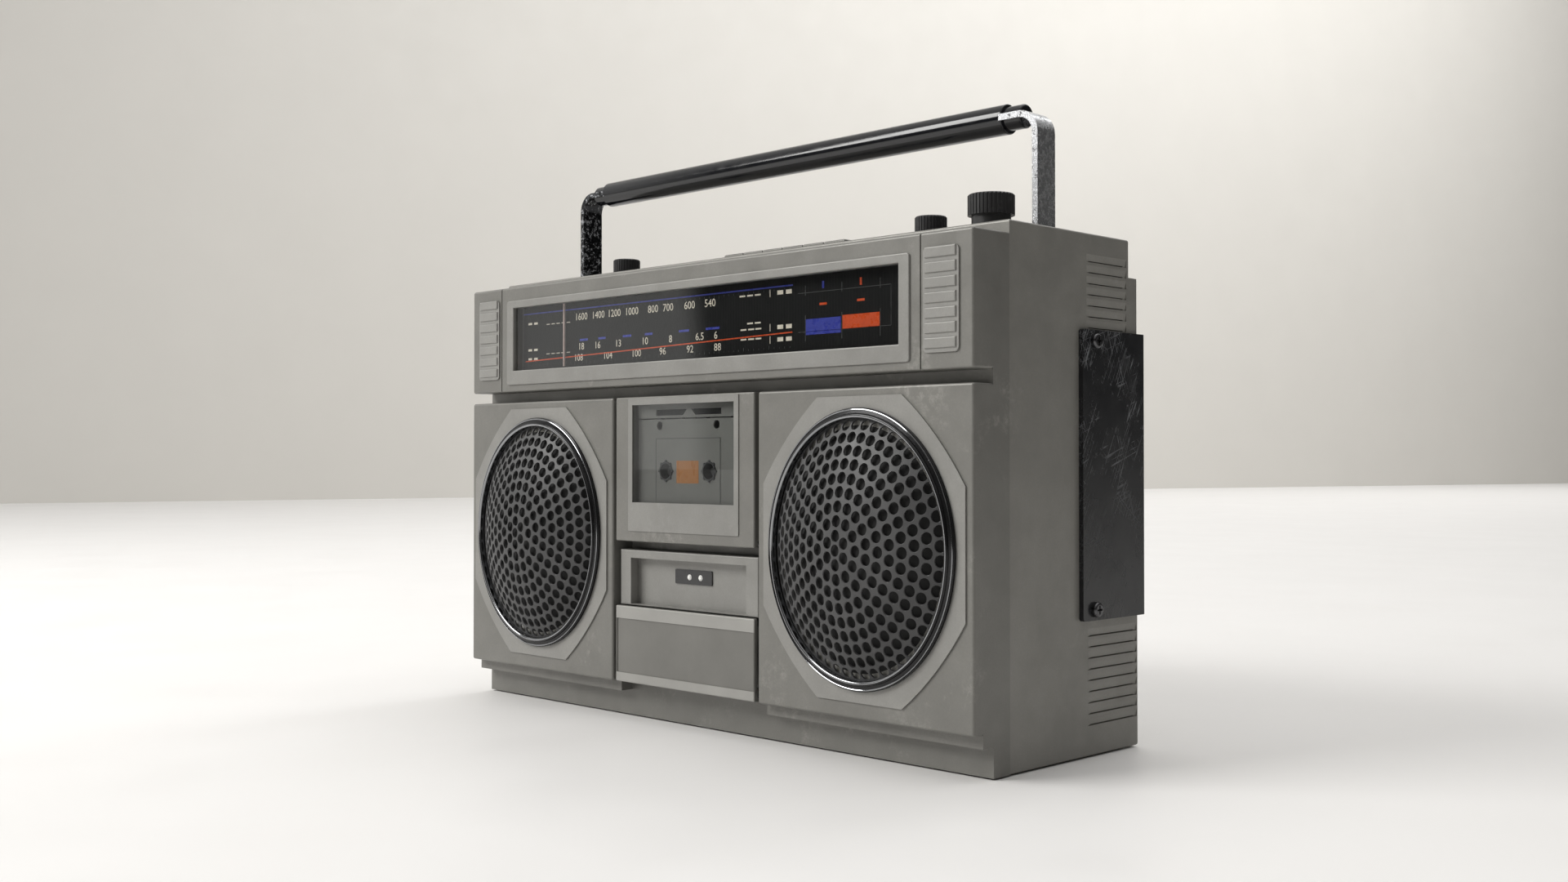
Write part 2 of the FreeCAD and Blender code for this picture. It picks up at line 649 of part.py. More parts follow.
def case_openings():
    """Every hole, slot and louvre in the rear case."""
    tools = [
        block(("key_x - 0.4", "keys_end - key_gap + 0.4"), ("key_y - 2", "key_y + key_d + 1.5"),
              ("rear_h - wall - 1", "rear_h + 1")),
        block(("-bay_half", "bay_half"), ("bay_y", BEHIND), ("bay_z", "bay_z + bay_h")),
        rod("x", ("key_pivot_y", "key_pivot_z"), ("key_x - 8", "keys_end + 8"), "key_rod_r"),
        rod("x", ("back_y - wall / 2", "bay_z + 2"), ("-bay_half - 1.8", "bay_half + 1.8"),
            "lid_pin_r + run_gap"),
        rod("y", ("mast_x", "mast_z"), ("rear_top_y - wall", BEHIND), "lid_pin_r"),
        block(("inlet_x - 12", "inlet_x + 12"), ("back_y - wall - 1", BEHIND),
              ("inlet_z - 8", "inlet_z + 8")),
    ]
    for x in ("volume_x", "tone_x", "tuning_x"):
        tools.append(rod("z", (x, "knob_y"), ("rear_h - wall - 1", "rear_h + 1"), "stem_r + fit_gap"))
    for step in (1, 2):
        tools.append(rod("y", ("inlet_x", f"inlet_z + 6 + {step} * 18"), ("back_y - wall - 1", BEHIND), "5"))
    for low, high in both_sides("slot_in", "slot_out"):
        tools.append(block((low, high), ("slot_y", BEHIND), ("slot_z", "rear_h + 1")))
    for low, high in both_sides("slot_in - 2", "slot_out + 2"):
        tools.append(rod("x", ("handle_y", "pivot_z"), (low, high), "pivot_r"))
    for x, z in screw_places():
        tools.append(rod("y", (x, z), ("seam_y + 12", BEHIND), "screw_head_r + fit_gap"))
        tools.append(rod("y", (x, z), ("seam_y - 1", "seam_y + 13"), "screw_r"))
    for low, high in both_sides("half_w - 12", "half_w + 1"):
        for z in guard_screw_heights():
            tools.append(rod("x", ("guard_y + 12.6", z), (low, high), "screw_r"))
    for side in ("1", "-1"):
        for y in ("50", "150"):
            tools.append(rod("z", (f"{side} * 200", y), ("-1", "foot_sunk"), "foot_r"))
        tools += louvres(side, "254", 7, ("108.3", "151.2"))
        tools += louvres(side, "18", 9, ("109", "back_y - 2"))
        for step in range(10):
            x = f"{side} * (122 + {step} * 8)"
            tools.append(block((f"{x} - 1.5", f"{x} + 1.5"), ("back_y - wall - 1", BEHIND), ("150", "200")))
    return tools


def louvres(side, start, count, y):
    """Wedge-shaped louvres in a side wall, each with a slit at its deep edge."""
    wedges = []
    for index in range(count):
        z = f"{start} + {index} * louvre_pitch"
        wedge = doc.addObject("Part::Wedge", "louvre")
        for key, value in (("Xmin", "0"), ("Xmax", f"({y[1]}) - ({y[0]})"), ("X2min", "0"),
                           ("X2max", f"({y[1]}) - ({y[0]})"), ("Ymin", "0"),
                           ("Ymax", "louvre_pitch - 0.6"), ("Zmin", "0"), ("Zmax", "louvre_d + 0.5"),
                           ("Z2min", "0"), ("Z2max", "0.3")):
            wedge.setExpression(key, bound(value))
        if side == "1":
            turn = Rotation(Vector(0, -1, 0), Vector(0, 0, 1), Vector(-1, 0, 0), "XYZ")
            place(wedge, "half_w + 0.5", y[1], z, turn)
            low, high = "half_w - wall - 1", "half_w + 1"
        else:
            turn = Rotation(Vector(0, 1, 0), Vector(0, 0, 1), Vector(1, 0, 0), "XYZ")
            place(wedge, "-half_w - 0.5", y[0], z, turn)
            low, high = "-half_w - 1", "-half_w + wall + 1"
        wedges.append(wedge)
        wedges.append(block((low, high), (f"{y[0]} + 3", f"{y[1]} - 3"),
                            (f"{z} + 0.2", f"{z} + 0.7")))
    return wedges


def side_guards():
    """Steel guards round the rear edges of both sides, each with two screw holes."""
    plate = block(("half_w", "half_w + guard_t"), ("guard_y", "back_y + guard_t"), ("guard_z", "guard_top"))
    wrap = block(("half_w - guard_wrap", "half_w + guard_t"), ("back_y", "back_y + guard_t"),
                 ("guard_z", "guard_top"))
    both = rounded(fuse([plate, wrap]), "2", lambda edge: along("x")(edge)
                   and in_plane("y", "guard_y")(edge))
    eased = rounded(both, "1.2", lambda edge: along("z")(edge) and in_plane("x", "half_w + guard_t")(edge)
                    and in_plane("y", "back_y + guard_t")(edge))
    holes = [rod("x", ("guard_y + 12.6", z), ("half_w - 1", "half_w + guard_t + 1"), "screw_r + run_gap")
             for z in guard_screw_heights()]
    return pair(cut(eased, holes), "side_guards")


def screw(x, y, z, turn, length):
    """Pan-head screw with a cross recess; its own Z points out of the head."""
    head = "screw_head_t"
    owner = turned("screw", [("0", f"-({length})"), ("screw_r", f"-({length})"), ("screw_r", "0"),
                             ("screw_head_r", "0"), ("screw_head_r", f"{head} - 1.4"),
                             ("screw_head_r - 1.4", head), ("0", head)],
                   x, y, z, turn, {4: "1.4"})
    for wide, deep in (("0.6", "2.6"), ("2.6", "0.6")):
        sketch = sketch_on(owner, "XY_Plane", head)
        outline(sketch, [(f"-{wide}", f"-{deep}"), (wide, f"-{deep}"), (wide, deep), (f"-{wide}", deep)])
        feature(owner, "Pocket", sketch, "cross").Length = 1.6
    return owner


def case_screws():
    """Four guard screws and six long screws that hold the two shells together."""
    screws = []
    for side, turn in (("1", TURNS["x"]), ("-1", Rotation(Vector(0, 1, 0), -90))):
        for z in guard_screw_heights():
            screws.append(screw(f"{side} * (half_w + guard_t)", "guard_y + 12.6", z, turn, "10"))
    for x, z in screw_places():
        screws.append(screw(x, "seam_y + 12", z, TURNS["y"], "20"))
    return group(screws, "case_screws")


def rubber_feet():
    """Four round feet let into the underside."""
    profile = [("0", "-foot_proud"), ("foot_r - 1", "-foot_proud"), ("foot_r", "0"),
               ("foot_r", "foot_sunk"), ("0", "foot_sunk")]
    feet = [turned("foot", profile, f"{side} * 200", y, "0") for side in ("1", "-1") for y in ("50", "150")]
    return group(feet, "rubber_feet")


# --- dial ------------------------------------------------------------------------------------

def dial_bezel():
    """Light frame with a sleeve through the shell; its ends carry the scale plate."""
    plate = rounded(block(("-bezel_half", "bezel_half"), ("-bezel_proud", "0"), ("bezel_z", "bezel_top")),
                    "2.5", along("y"))
    out = "dial_half + bezel_wall"
    z = ("dial_z - bezel_wall", "dial_top + bezel_wall")
    sleeve = block((f"-({out})", out), ("-bezel_proud / 2", "bezel_depth"), z)
    legs = [block(side, ("-bezel_proud / 2", "scale_y"), z) for side in both_sides("dial_half", out)]
    opening = block(("-dial_half", "dial_half"), (NOSE, BEHIND), ("dial_z", "dial_top"))
    frame = cut(fuse([plate, sleeve] + legs), [opening])
    return rounded(frame, "0.8", in_plane("y", "-bezel_proud"), "dial_bezel")


def dial_window():
    """Clear window inside the sleeve."""
    return block(("-dial_half", "dial_half"), ("1.2", "1.2 + glass_t"), ("dial_z", "dial_top"), "dial_window")


def dial_scale():
    """Black plate that carries the scale, with a fine fluted face."""
    return block(("-dial_half - 4", "dial_half + 4"), ("scale_y", "scale_y + scale_t"),
                 ("dial_z - 4", "dial_top + 4"), "dial_scale")


def dial_pointer():
    """Upright pointer on a carriage that runs along the rail over the scale."""
    bar = block(("pointer_x - pointer_w / 2", "pointer_x + pointer_w / 2"), ("pointer_y", "pointer_y + 1"),
                ("dial_z + 1.5", "rail_z - 1"))
    carriage = block(("pointer_x - 5", "pointer_x + 5"), ("pointer_y", "rail_y + 3"),
                     ("dial_top + 5", "rail_z + 3"))
    bore = rod("x", ("rail_y", "rail_z"), ("pointer_x - 6", "pointer_x + 6"), "rail_r + run_gap")
    return cut(fuse([bar, carriage]), [bore], "dial_pointer")


def tuning_drum():
    """Cord drum on the tuning capacitor's shaft."""
    return turned("tuning_drum", [("0", "0"), ("drum_r + 1.5", "0"), ("drum_r + 1.5", "1"), ("drum_r", "1.8"),
                                  ("drum_r", "3.2"), ("drum_r + 1.5", "4"), ("drum_r + 1.5", "5"),
                                  ("stem_r", "5"), ("stem_r", "12"), ("0", "12")],
                  "drum_x", "deck_y + 2", "drum_z", TURNS["y"])


def tuning_capacitor():
    """Variable capacitor with a bore for the drum's shaft."""
    case = block(("drum_x - 16", "drum_x + 16"), ("deck_y + 9", "deck_y + 34"),
                 ("drum_z - 16", "drum_z + 16"))
    bore = rod("y", ("drum_x", "drum_z"), ("deck_y + 8", "deck_y + 15"), "stem_r + run_gap")
    return cut(case, [bore])


# --- speakers --------------------------------------------------------------------------------

def speaker_trims():
    """Eight-sided plates with bulging corner sides round the speakers."""
    w, up, lv, hh = "trim_w / 2", "trim_upright / 2", "trim_level / 2", "trim_h / 2"
    x, z = "speaker_x", "speaker_z"
    corners = [(f"{x} + {lv}", f"{z} - {hh}"), (f"{x} + {w}", f"{z} - {up}"), (f"{x} + {w}", f"{z} + {up}"),
               (f"{x} + {lv}", f"{z} + {hh}"), (f"{x} - {lv}", f"{z} + {hh}"), (f"{x} - {w}", f"{z} + {up}"),
               (f"{x} - {w}", f"{z} - {up}"), (f"{x} - {lv}", f"{z} - {hh}")]
    chord = f"((({w}) - ({lv}))^2 + (({hh}) - ({up}))^2)"
    radius = f"({chord} / 4 + trim_bulge^2) / (2 * trim_bulge)"
    plate = prism("trim_plate", corners, ("-trim_t", "0"), {index: radius for index in (0, 2, 4, 6)})
    hole = oval(x, z, flange_size("ring_w", "fit_gap"), flange_size("ring_h", "fit_gap"),
                ("-trim_t - 1", "1"))
    return pair(cut(plate, [hole]), "speaker_trims")


def flange_size(size, extra):
    """Outer size of the grille's flange, with something added all round."""
    return f"{size} - 2 * ring_band + 2 * flange_w + 2 * {extra}"


def speaker_rings():
    """Bright oval rings that clamp the grilles."""
    y = ("-trim_t - ring_proud", "-trim_t")
    outer = rounded(oval("speaker_x", "speaker_z", "ring_w", "ring_h", y), "1.9", in_plane("y", y[0]))
    inner = oval("speaker_x", "speaker_z", "ring_w - 2 * ring_band", "ring_h - 2 * ring_band",
                 ("-60", "1"))
    ring = rounded(cut(outer, [inner]), "1.1", lambda edge: in_plane("y", y[0])(edge)
                   and edge.Length < number("3.1416 * (ring_w + ring_h) / 2 - 3.6 * ring_band"))
    return pair(ring, "speaker_rings")


def dome(shrink, name):
    """Ellipsoid whose front cap rises dome_rise in front of the trim, made smaller by shrink."""
    half = "(ring_w / 2 - ring_band - fit_gap)"
    ball = f"(({half}^2 + dome_rise^2) / (2 * dome_rise))"
    solid = doc.addObject("Part::Ellipsoid", name)
    solid.setExpression("Radius1", bound(f"{ball} - {shrink}"))
    solid.setExpression("Radius2", bound(f"{ball} - {shrink}"))
    solid.setExpression("Radius3", bound(f"{ball} * ring_h / ring_w - {shrink}"))
    solid.Angle1 = -90
    solid.Angle2 = 90
    solid.Angle3 = 360
    turn = Rotation(Vector(1, 0, 0), 90)
    return place(solid, "speaker_x", f"-trim_t - dome_rise + {ball}", "speaker_z", turn)


def speaker_grilles():
    """Domed oval grilles with a flat flange under the ring."""
    cap = common(cut(dome("0", "dome"), [dome("grille_t", "dome_inside")]),
                 block(("0", "2 * speaker_x"), (NOSE, "-trim_t / 2"), ("0", "front_h")))
    rim = cut(oval("speaker_x", "speaker_z", flange_size("ring_w", "0"), flange_size("ring_h", "0"),
                   ("-trim_t", "0")),
              [oval("speaker_x", "speaker_z", "ring_w - 2 * ring_band - 4", "ring_h - 2 * ring_band - 4",
                    ("-10", "1"))])
    return pair(fuse([cap, rim]), "speaker_grilles")


def speaker_frames():
    """Steel frames of the loudspeakers with their magnets."""
    inner = "(cone_r + 2)"
    neck = "magnet_r"
    profile = [(inner, "0"), ("basket_r", "0"), ("basket_r", "2"), (f"{inner} + 2.5", "2"),
               (f"{neck} + 2", "basket_d - 3"), (f"{neck} + 2", "basket_d"), ("13", "basket_d"),
               ("13", "basket_d - 1.6"), (f"{neck} + 0.3", "basket_d - 1.6"),
               (f"{neck} + 0.3", "basket_d - 3.5"), (inner, "3")]
    magnet = [("0", "basket_d"), ("magnet_r - 1", "basket_d"), ("magnet_r", "basket_d + 1"),
              ("magnet_r", "basket_d + magnet_d - 1"), ("magnet_r - 1", "basket_d + magnet_d"),
              ("0", "basket_d + magnet_d")]
    frames = []
    for side in ("1", "-1"):
        pieces = [turned(name, shape, f"{side} * speaker_x", "wall", "speaker_z", TURNS["y"])
                  for name, shape in (("basket", profile), ("magnet", magnet))]
        frames.append(fuse(pieces))
    return group(frames, "speaker_frames")


def speaker_cone(name, side):
    """Paper cone with surround, dust cap and voice-coil former, free inside its frame."""
    edge = "cone_r"
    profile = [("0", "21"), ("9", "22.2"), ("15.5", "25.4"), (f"{edge} - 4", "1.6"), (f"{edge} - 2", "0.6"),
               (edge, "1.6"), (edge, "2.8"), (f"{edge} - 2", "1.9"), (f"{edge} - 4", "3"), ("16", "26.8"),
               ("12.5", "28.2"), ("12.5", "basket_d - 2.5"), ("11.7", "basket_d - 2.5"), ("11.7", "24.9"),
               ("8.6", "23.4"), ("0", "22.2")]
    return turned(name, profile, f"{side} * speaker_x", "wall", "speaker_z", TURNS["y"])


# --- cassette door and deck ------------------------------------------------------------------

def hinged_plate(z, thick, hinge_z, name):
    """Plate across the centre column with two lugs round its hinge pins."""
    plate = rounded(block(("-door_half", "door_half"), ("0", thick), z), "1",
                    lambda edge: in_plane("y", "0")(edge) or along("y")(edge))
    lugs = [block(side, (f"{thick} - 1", "hinge_y + 4"), (z[0], f"{hinge_z} + 4.4"))
            for side in both_sides("door_half - 6", "door_half")]
    bores = [rod("x", ("hinge_y", hinge_z), side, "hinge_r + run_gap")
             for side in both_sides("door_half - 7", "door_half + 1")]
    return cut(fuse([plate] + lugs), bores, name)


def cassette_door():
    """Door frame, hinged at its lower edge."""
    frame = hinged_plate(("door_z", "block_top"), "door_t", "hinge_z", "door_plate")
    opening = block(("-window_half", "window_half"), (NOSE, BEHIND), ("window_z", "window_top"))
    return cut(frame, [opening], "cassette_door")


def door_bezel():
    """Light plate on the front of the door."""
    out = "window_half + door_bezel_m"
    blank = block((f"-({out})", out), ("-door_bezel_t", "0"), ("door_bezel_z", "block_top - 1"))
    plate = rounded(blank, "0.8", along("y"))
    opening = block(("-window_half", "window_half"), (NOSE, BEHIND), ("window_z", "window_top"))
    return cut(plate, [opening], "door_bezel")


def door_window():
    """Clear window of the door."""
    return block(("-window_half", "window_half"), ("0.2", "0.2 + glass_t"), ("window_z", "window_top"),
                 "door_window")


def cassette_holder():
    """Rails, floor and slotted top strip that hold the cassette behind the door."""
    inner = "tape_w / 2 + fit_gap"
    deep = "tape_y + tape_t + 1.6"
    rails = [block(side, ("door_t", deep), ("tape_z - 2", "window_top + 1"))
             for side in both_sides(inner, f"{inner} + 1.8")]
    floor = block((f"-({inner}) - 1.8", f"{inner} + 1.8"), ("door_t", deep), ("tape_z - 2", "tape_z"))
    strip = block((f"-({inner}) - 1.8", f"{inner} + 1.8"), ("door_t", "door_t + 1.4"),
                  ("tape_top + 0.8", "window_top + 1"))
    slots = [slot_shape("-31", "0", 1), slot_shape("4", "33", -1)]
    return cut(fuse(rails + [floor, strip]), slots, "cassette_holder")


def slot_shape(low, high, lean):
    """Slot with one slanting end."""
    z = ("window_top - 7.4", "window_top - 3.4")
    slant = 4
    if lean > 0:
        corners = [(low, z[0]), (f"{high} - {slant}", z[0]), (high, z[1]), (low, z[1])]
    else:
        corners = [(f"{low} + {slant}", z[0]), (high, z[0]), (high, z[1]), (low, z[1])]
    return prism("slot", corners, ("door_t - 1", "door_t + 3"))


def cassette_shell():
    """Compact cassette with its open edge up: thin body, thicker lip and hub holes."""
    half = "tape_w / 2"
    y = ("tape_y", "tape_y + tape_t")
    thin = rounded(block((f"-{half}", half), y, ("tape_z", "tape_top")), "1.5", along("y"))
    lip = prism("lip", [("-34", "tape_top - 16.5"), ("34", "tape_top - 16.5"), ("31.5", "tape_top"),
                        ("-31.5", "tape_top")], ("tape_y", "tape_y + (tape_t + tape_lip_t) / 2"))
    label = block(("-31.5", "31.5"), ("tape_y - 0.15", "tape_y + 0.5"), ("tape_z + 2.5", "tape_top - 12.7"))
    inside = block((f"-{half} + 1.8", f"{half} - 1.8"), ("tape_y + 1.2", "tape_y + tape_t - 1.2"),
                   ("tape_z + 1.8", "tape_top - 1.8"))
    mouths = [block((low, high), ("tape_y + 1.2", "tape_y + tape_t - 1.2"), ("tape_top - 3", "tape_top + 1"))
              for low, high in (("-8", "8"), ("20", "36"), ("-36", "-20"))]
    holes = [rod("y", (f"{side} * hub_half", "hub_z"), ("0", "30"), "hub_r + 0.9") for side in ("1", "-1")]
    holes += [rod("y", (f"{side} * capstan_x", "capstan_z"), ("0", "30"), "capstan_r + 1.6")
              for side in ("1", "-1")]
    return cut(fuse([thin, lip, label]), [inside] + mouths + holes, "cassette_shell")


def reel(name, side, pack):
    """Hub with its wound tape; a toothed collar shows in front of the cassette."""
    depth = "tape_t - 1.8"
    owner = turned(name, [("hub_r", "-0.9"), ("hub_r + 1", "-0.9"), ("hub_r + 1", "-0.2"),
                          ("hub_r + 0.6", "-0.2"), ("hub_r + 0.6", "1.6"), (pack, "1.6"), (pack, depth),
                          ("hub_r", depth)],
                   f"{side} * hub_half", "tape_y", "hub_z", TURNS["y"])
    sketch = sketch_on(owner, "XY_Plane", "-0.9")
    outline(sketch, [("hub_r + 0.6", "-0.9"), ("hub_r + 2", "-0.7"), ("hub_r + 2", "0.7"),
                     ("hub_r + 0.6", "0.9")])
    pad = feature(owner, "Pad", sketch, "tooth")
    pad.Length = 0.7
    pattern = owner.newObject("PartDesign::PolarPattern", "teeth")
    pattern.Originals = [pad]
    pattern.Axis = (sketch, ["N_Axis"])
    pattern.Angle = 360
    pattern.Occurrences = 8
    owner.Tip = pattern
    return owner


def spindle(name, side):
    """Drive spindle with three fins, bearing in the deck plate, and its wheel behind."""
    owner = turned(name, [("0", "-12"), ("spindle_r - 1.2", "-12"), ("spindle_r", "-10.4"),
                          ("spindle_r", "-1"), ("1.5", "-1"), ("1.5", "deck_t + 1"),
                          ("14", "deck_t + 1"), ("14", "deck_t + 4"),
                          ("0", "deck_t + 4")],
                   f"{side} * hub_half", "deck_y", "hub_z", TURNS["y"])
    sketch = sketch_on(owner, "XY_Plane", "-10")
    outline(sketch, [("spindle_r - 0.6", "-0.5"), ("spindle_r + 0.7", "-0.5"), ("spindle_r + 0.7", "0.5"),
                     ("spindle_r - 0.6", "0.5")])
    pad = feature(owner, "Pad", sketch, "fin")
    pad.Length = 6
    pattern = owner.newObject("PartDesign::PolarPattern", "fins")
    pattern.Originals = [pad]
    pattern.Axis = (sketch, ["N_Axis"])
    pattern.Angle = 360
    pattern.Occurrences = 3
    owner.Tip = pattern
    return owner


def deck_plate():
    """Steel plate of the tape deck with its bearings and the motor's posts."""
    plate = block(("-column_half + 2.3", "column_half - 2.3"), ("deck_y", "deck_y + deck_t"),
                  ("door_z - 2", "block_top - 1"))
    posts = [rod("y", (f"motor_x + {step}", "capstan_z - 8"), ("deck_y + deck_t / 2", "deck_y + 18"), "2.5")
             for step in ("11", "-11")]
    holes = [rod("y", (f"{side} * hub_half", "hub_z"), ("0", "60"), "1.5 + run_gap") for side in ("1", "-1")]
    holes.append(rod("y", ("capstan_x", "capstan_z"), ("0", "60"), "capstan_r + run_gap"))
    return cut(fuse([plate] + posts), holes, "deck_plate")


def flywheel():
    """Capstan and its flywheel."""
    return turned("flywheel", [("0", "-12"), ("capstan_r", "-12"), ("capstan_r", "deck_t + 6"),
                               ("flywheel_r", "deck_t + 6"), ("flywheel_r", "deck_t + 13"),
                               ("0", "deck_t + 13")],
                  "capstan_x", "deck_y", "capstan_z", TURNS["y"])


def motor_pulley():
    """Pulley on the motor's shaft."""
    return turned("motor_pulley", [("0", "deck_t + 6"), ("pulley_r", "deck_t + 6"),
                                   ("pulley_r", "deck_t + 13"),
                                   ("1", "deck_t + 13"), ("1", "20"), ("0", "20")],
                  "motor_x", "deck_y", "capstan_z - 8", TURNS["y"])


def deck_motor():
    """Motor can with a bore for its shaft."""
    return turned("deck_motor", [("1 + run_gap", "18"), ("motor_r - 1.5", "18"), ("motor_r", "19.5"),
                                 ("motor_r", "42"), ("motor_r - 1.5", "43.5"), ("0", "43.5"), ("0", "24"),
                                 ("1 + run_gap", "24")],
                  "motor_x", "deck_y", "capstan_z - 8", TURNS["y"])


def belt_wire(extra):
    """Closed line round the flywheel and the motor pulley, a distance extra outside them."""
    big, small = number("flywheel_r") + extra, number("pulley_r") + extra
    centre_big = Vector(number("capstan_x"), 0, number("capstan_z"))
    centre_small = Vector(number("motor_x"), 0, number("capstan_z - 8"))
    across = centre_small - centre_big
    heading = math.atan2(across.z, across.x)
    opening = math.acos((big - small) / across.Length)

    def rim(centre, radius, angle):
        return centre + Vector(radius * math.cos(angle), 0, radius * math.sin(angle))
    upper, lower = heading - opening, heading + opening
    start, stop = rim(centre_big, big, lower), rim(centre_big, big, upper)
    arc_big = Part.Arc(start, rim(centre_big, big, heading + math.pi), stop)
    arc_small = Part.Arc(rim(centre_small, small, upper), rim(centre_small, small, heading),
                         rim(centre_small, small, lower))
    first = Part.LineSegment(stop, rim(centre_small, small, upper))
    second = Part.LineSegment(rim(centre_small, small, lower), start)
    return Part.Wire([arc_big.toShape(), first.toShape(), arc_small.toShape(), second.toShape()])


def drive_belt():
    """Flat belt from the motor pulley to the flywheel."""
    slack, thick, wide = number("fit_gap"), 1.0, 3.0
    ring = Part.Face(belt_wire(slack + thick)).cut(Part.Face(belt_wire(slack)))
    belt = doc.addObject("Part::Feature", "drive_belt")
    belt.Shape = ring.Faces[0].extrude(Vector(0, wide, 0))
    return place(belt, "0", "deck_y + deck_t + 8", "0")


def head_bridge():
    """Sliding plate that carries the tape head and the pinch roller's pin."""
    plate = block(("capstan_x - 12", "20"), ("deck_y - 1.9", "deck_y - 0.3"),
                  ("roller_z - 4", "block_top - 4.6"))
    foot = block(("-5", "5"), ("tape_y + 7.4", "deck_y - 1.5"), ("roller_z - 3", "roller_z + 2.6"))
    pin = rod("y", ("capstan_x", "roller_z"), ("tape_y + 1", "deck_y - 1.5"), "1.2")
    return fuse([plate, foot, pin], "head_bridge")


def tape_head():
    """Magnetic head, just above the cassette's open edge."""
    core = block(("-6", "6"), ("tape_y + 1.6", "tape_y + 7.4"), ("roller_z - 4.4", "roller_z + 3"))
    return rounded(core, "1.6", lambda edge: along("y")(edge) and in_plane("z", "roller_z - 4.4")(edge),
                   "tape_head")


def pinch_roller():
    """Rubber roller on the bridge's pin."""
    return turned("pinch_roller", [("1.2 + run_gap", "0"), ("roller_r - 0.4", "0"), ("roller_r", "0.4"),
                                   ("roller_r", "4.4"), ("roller_r - 0.4", "4.8"), ("1.2 + run_gap", "4.8")],
                  "capstan_x", "tape_y + 1.9", "roller_z", TURNS["y"])


# --- indicator panel and band flap -----------------------------------------------------------

def indicator_panel():
    """Tray-like panel with a light frame."""
    outer = rounded(block(("-column_half + 3.7", "column_half - 3.7"), ("panel_y", "recess_y"),
                          ("panel_z", "panel_top")), "0.8", in_plane("y", "panel_y"))
    recess = block(("-56.7", "56.7"), ("0", "panel_y + panel_recess"), ("panel_z + 1", "panel_top - 5.4"))
    return cut(outer, [recess], "indicator_panel")


def indicator_window():
    """Dark window that the lamps shine through."""
    y = ("panel_y + panel_recess - 0.8", "panel_y + panel_recess")
    window = rounded(block(("-18", "18"), y, ("panel_z + 16.6", "panel_z + 26.2")), "0.8", along("y"))
    holes = [rod("y", (f"lamp_x + {side} * lamp_half", "panel_z + 21.3"), ("0", "20"), "lamp_r")
             for side in ("1", "-1")]
    return cut(window, holes, "indicator_window")


def indicator_lamps():
    """Two small round lamps."""
    profile = [("0", "-1.2"), ("lamp_r - 0.8", "-1"), ("lamp_r", "-0.2"), ("lamp_r", "0.8"), ("0", "0.8")]
    return group([turned("lamp", profile, f"lamp_x + {side} * lamp_half", "panel_y + panel_recess - 0.8",
                         "panel_z + 21.3", TURNS["y"]) for side in ("1", "-1")], "indicator_lamps")


def band_flap():
    """Hinged flap over the band slider, with a sunk face between two bars."""
    plate = hinged_plate(("flap_z", "flap_top"), "flap_t", "flap_hinge_z", "flap_plate")
    face = block(("-door_half + 1.4", "door_half - 1.4"), (NOSE, "0.6"), ("flap_z + 6.4", "flap_top - 8.6"))
    return cut(plate, [face], "band_flap")


def band_slider():
    """Slider of the band switch with a finger rib."""
    knob = rounded(block(("-7", "7"), ("12", "recess_y - fit_gap"), ("slider_z - 5", "slider_z + 5")), "1",
                   in_plane("y", "12"))
    rib = block(("-1", "1"), ("10.4", "13"), ("slider_z - 4", "slider_z + 4"))
    stem = block(("-2", "2"), ("recess_y - 1", "deck_y + 3"), ("slider_z - 1.2", "slider_z + 1.2"))
    return fuse([knob, rib, stem], "band_slider")


# --- handle, knobs and keys ------------------------------------------------------------------

def handle_strip():
    """Steel strip bent into a wide bow, narrowed inside the grip, with round pivot ends."""
    low, top = "pivot_z - strip_w / 2", "handle_z + strip_t / 2"
    out, inn, turn = "handle_half", "(handle_half - strip_t)", "(handle_half - bend_r)"
    corners = [(inn, low), (out, low), (out, f"{top} - bend_r"), (turn, top), (f"-{turn}", top),
               (f"-{out}", f"{top} - bend_r"), (f"-{out}", low), (f"-{inn}", low),
               (f"-{inn}", f"{top} - bend_r"), (f"-{turn}", f"{top} - strip_t"), (turn, f"{top} - strip_t"),
               (inn, f"{top} - bend_r")]
    arcs = {2: "bend_r", 4: "bend_r", 8: "-(bend_r - strip_t)", 10: "-(bend_r - strip_t)"}
    bow = prism("bow", corners, ("handle_y - strip_w / 2", "handle_y + strip_w / 2"), arcs)
    round_ends = rounded(bow, "strip_w / 2 - 0.01",
                         lambda edge: along("x")(edge) and in_plane("z", low)(edge))
    tools = [block(("-grip_half + 2", "grip_half - 2"), span, ("handle_z - 5", "handle_z + 5"))
             for span in (("handle_y - strip_w", "handle_y - strip_neck / 2"),
                          ("handle_y + strip_neck / 2", "handle_y + strip_w"))]
    tools.append(rod("x", ("handle_y", "pivot_z"), ("-half_w", "half_w"), "pivot_r + run_gap"))
    return cut(round_ends, tools, "handle_strip")


def handle_grip():
    """Round grip over the strip, with thinner ends."""
    end = "(handle_half - bend_r)"
    main = rounded(rod("x", ("handle_y", "handle_z"), ("-grip_half", "grip_half"), "grip_r"), "0.8",
                   lambda edge: in_plane("x", "grip_half")(edge) or in_plane("x", "-grip_half")(edge))
    ends = rounded(rod("x", ("handle_y", "handle_z"), (f"-{end}", end), "grip_end_r"), "1.5",
                   lambda edge: in_plane("x", end)(edge) or in_plane("x", f"-{end}")(edge))
    z = ("handle_z - strip_t / 2", "handle_z + strip_t / 2")
    channel = block(("-half_w", "half_w"), ("handle_y - strip_neck / 2", "handle_y + strip_neck / 2"), z)
    wide = [block(side, ("handle_y - strip_w", "handle_y + strip_w"), z)
            for side in both_sides("grip_half - 2", "half_w")]
    return cut(fuse([main, ends]), [channel] + wide, "handle_grip")


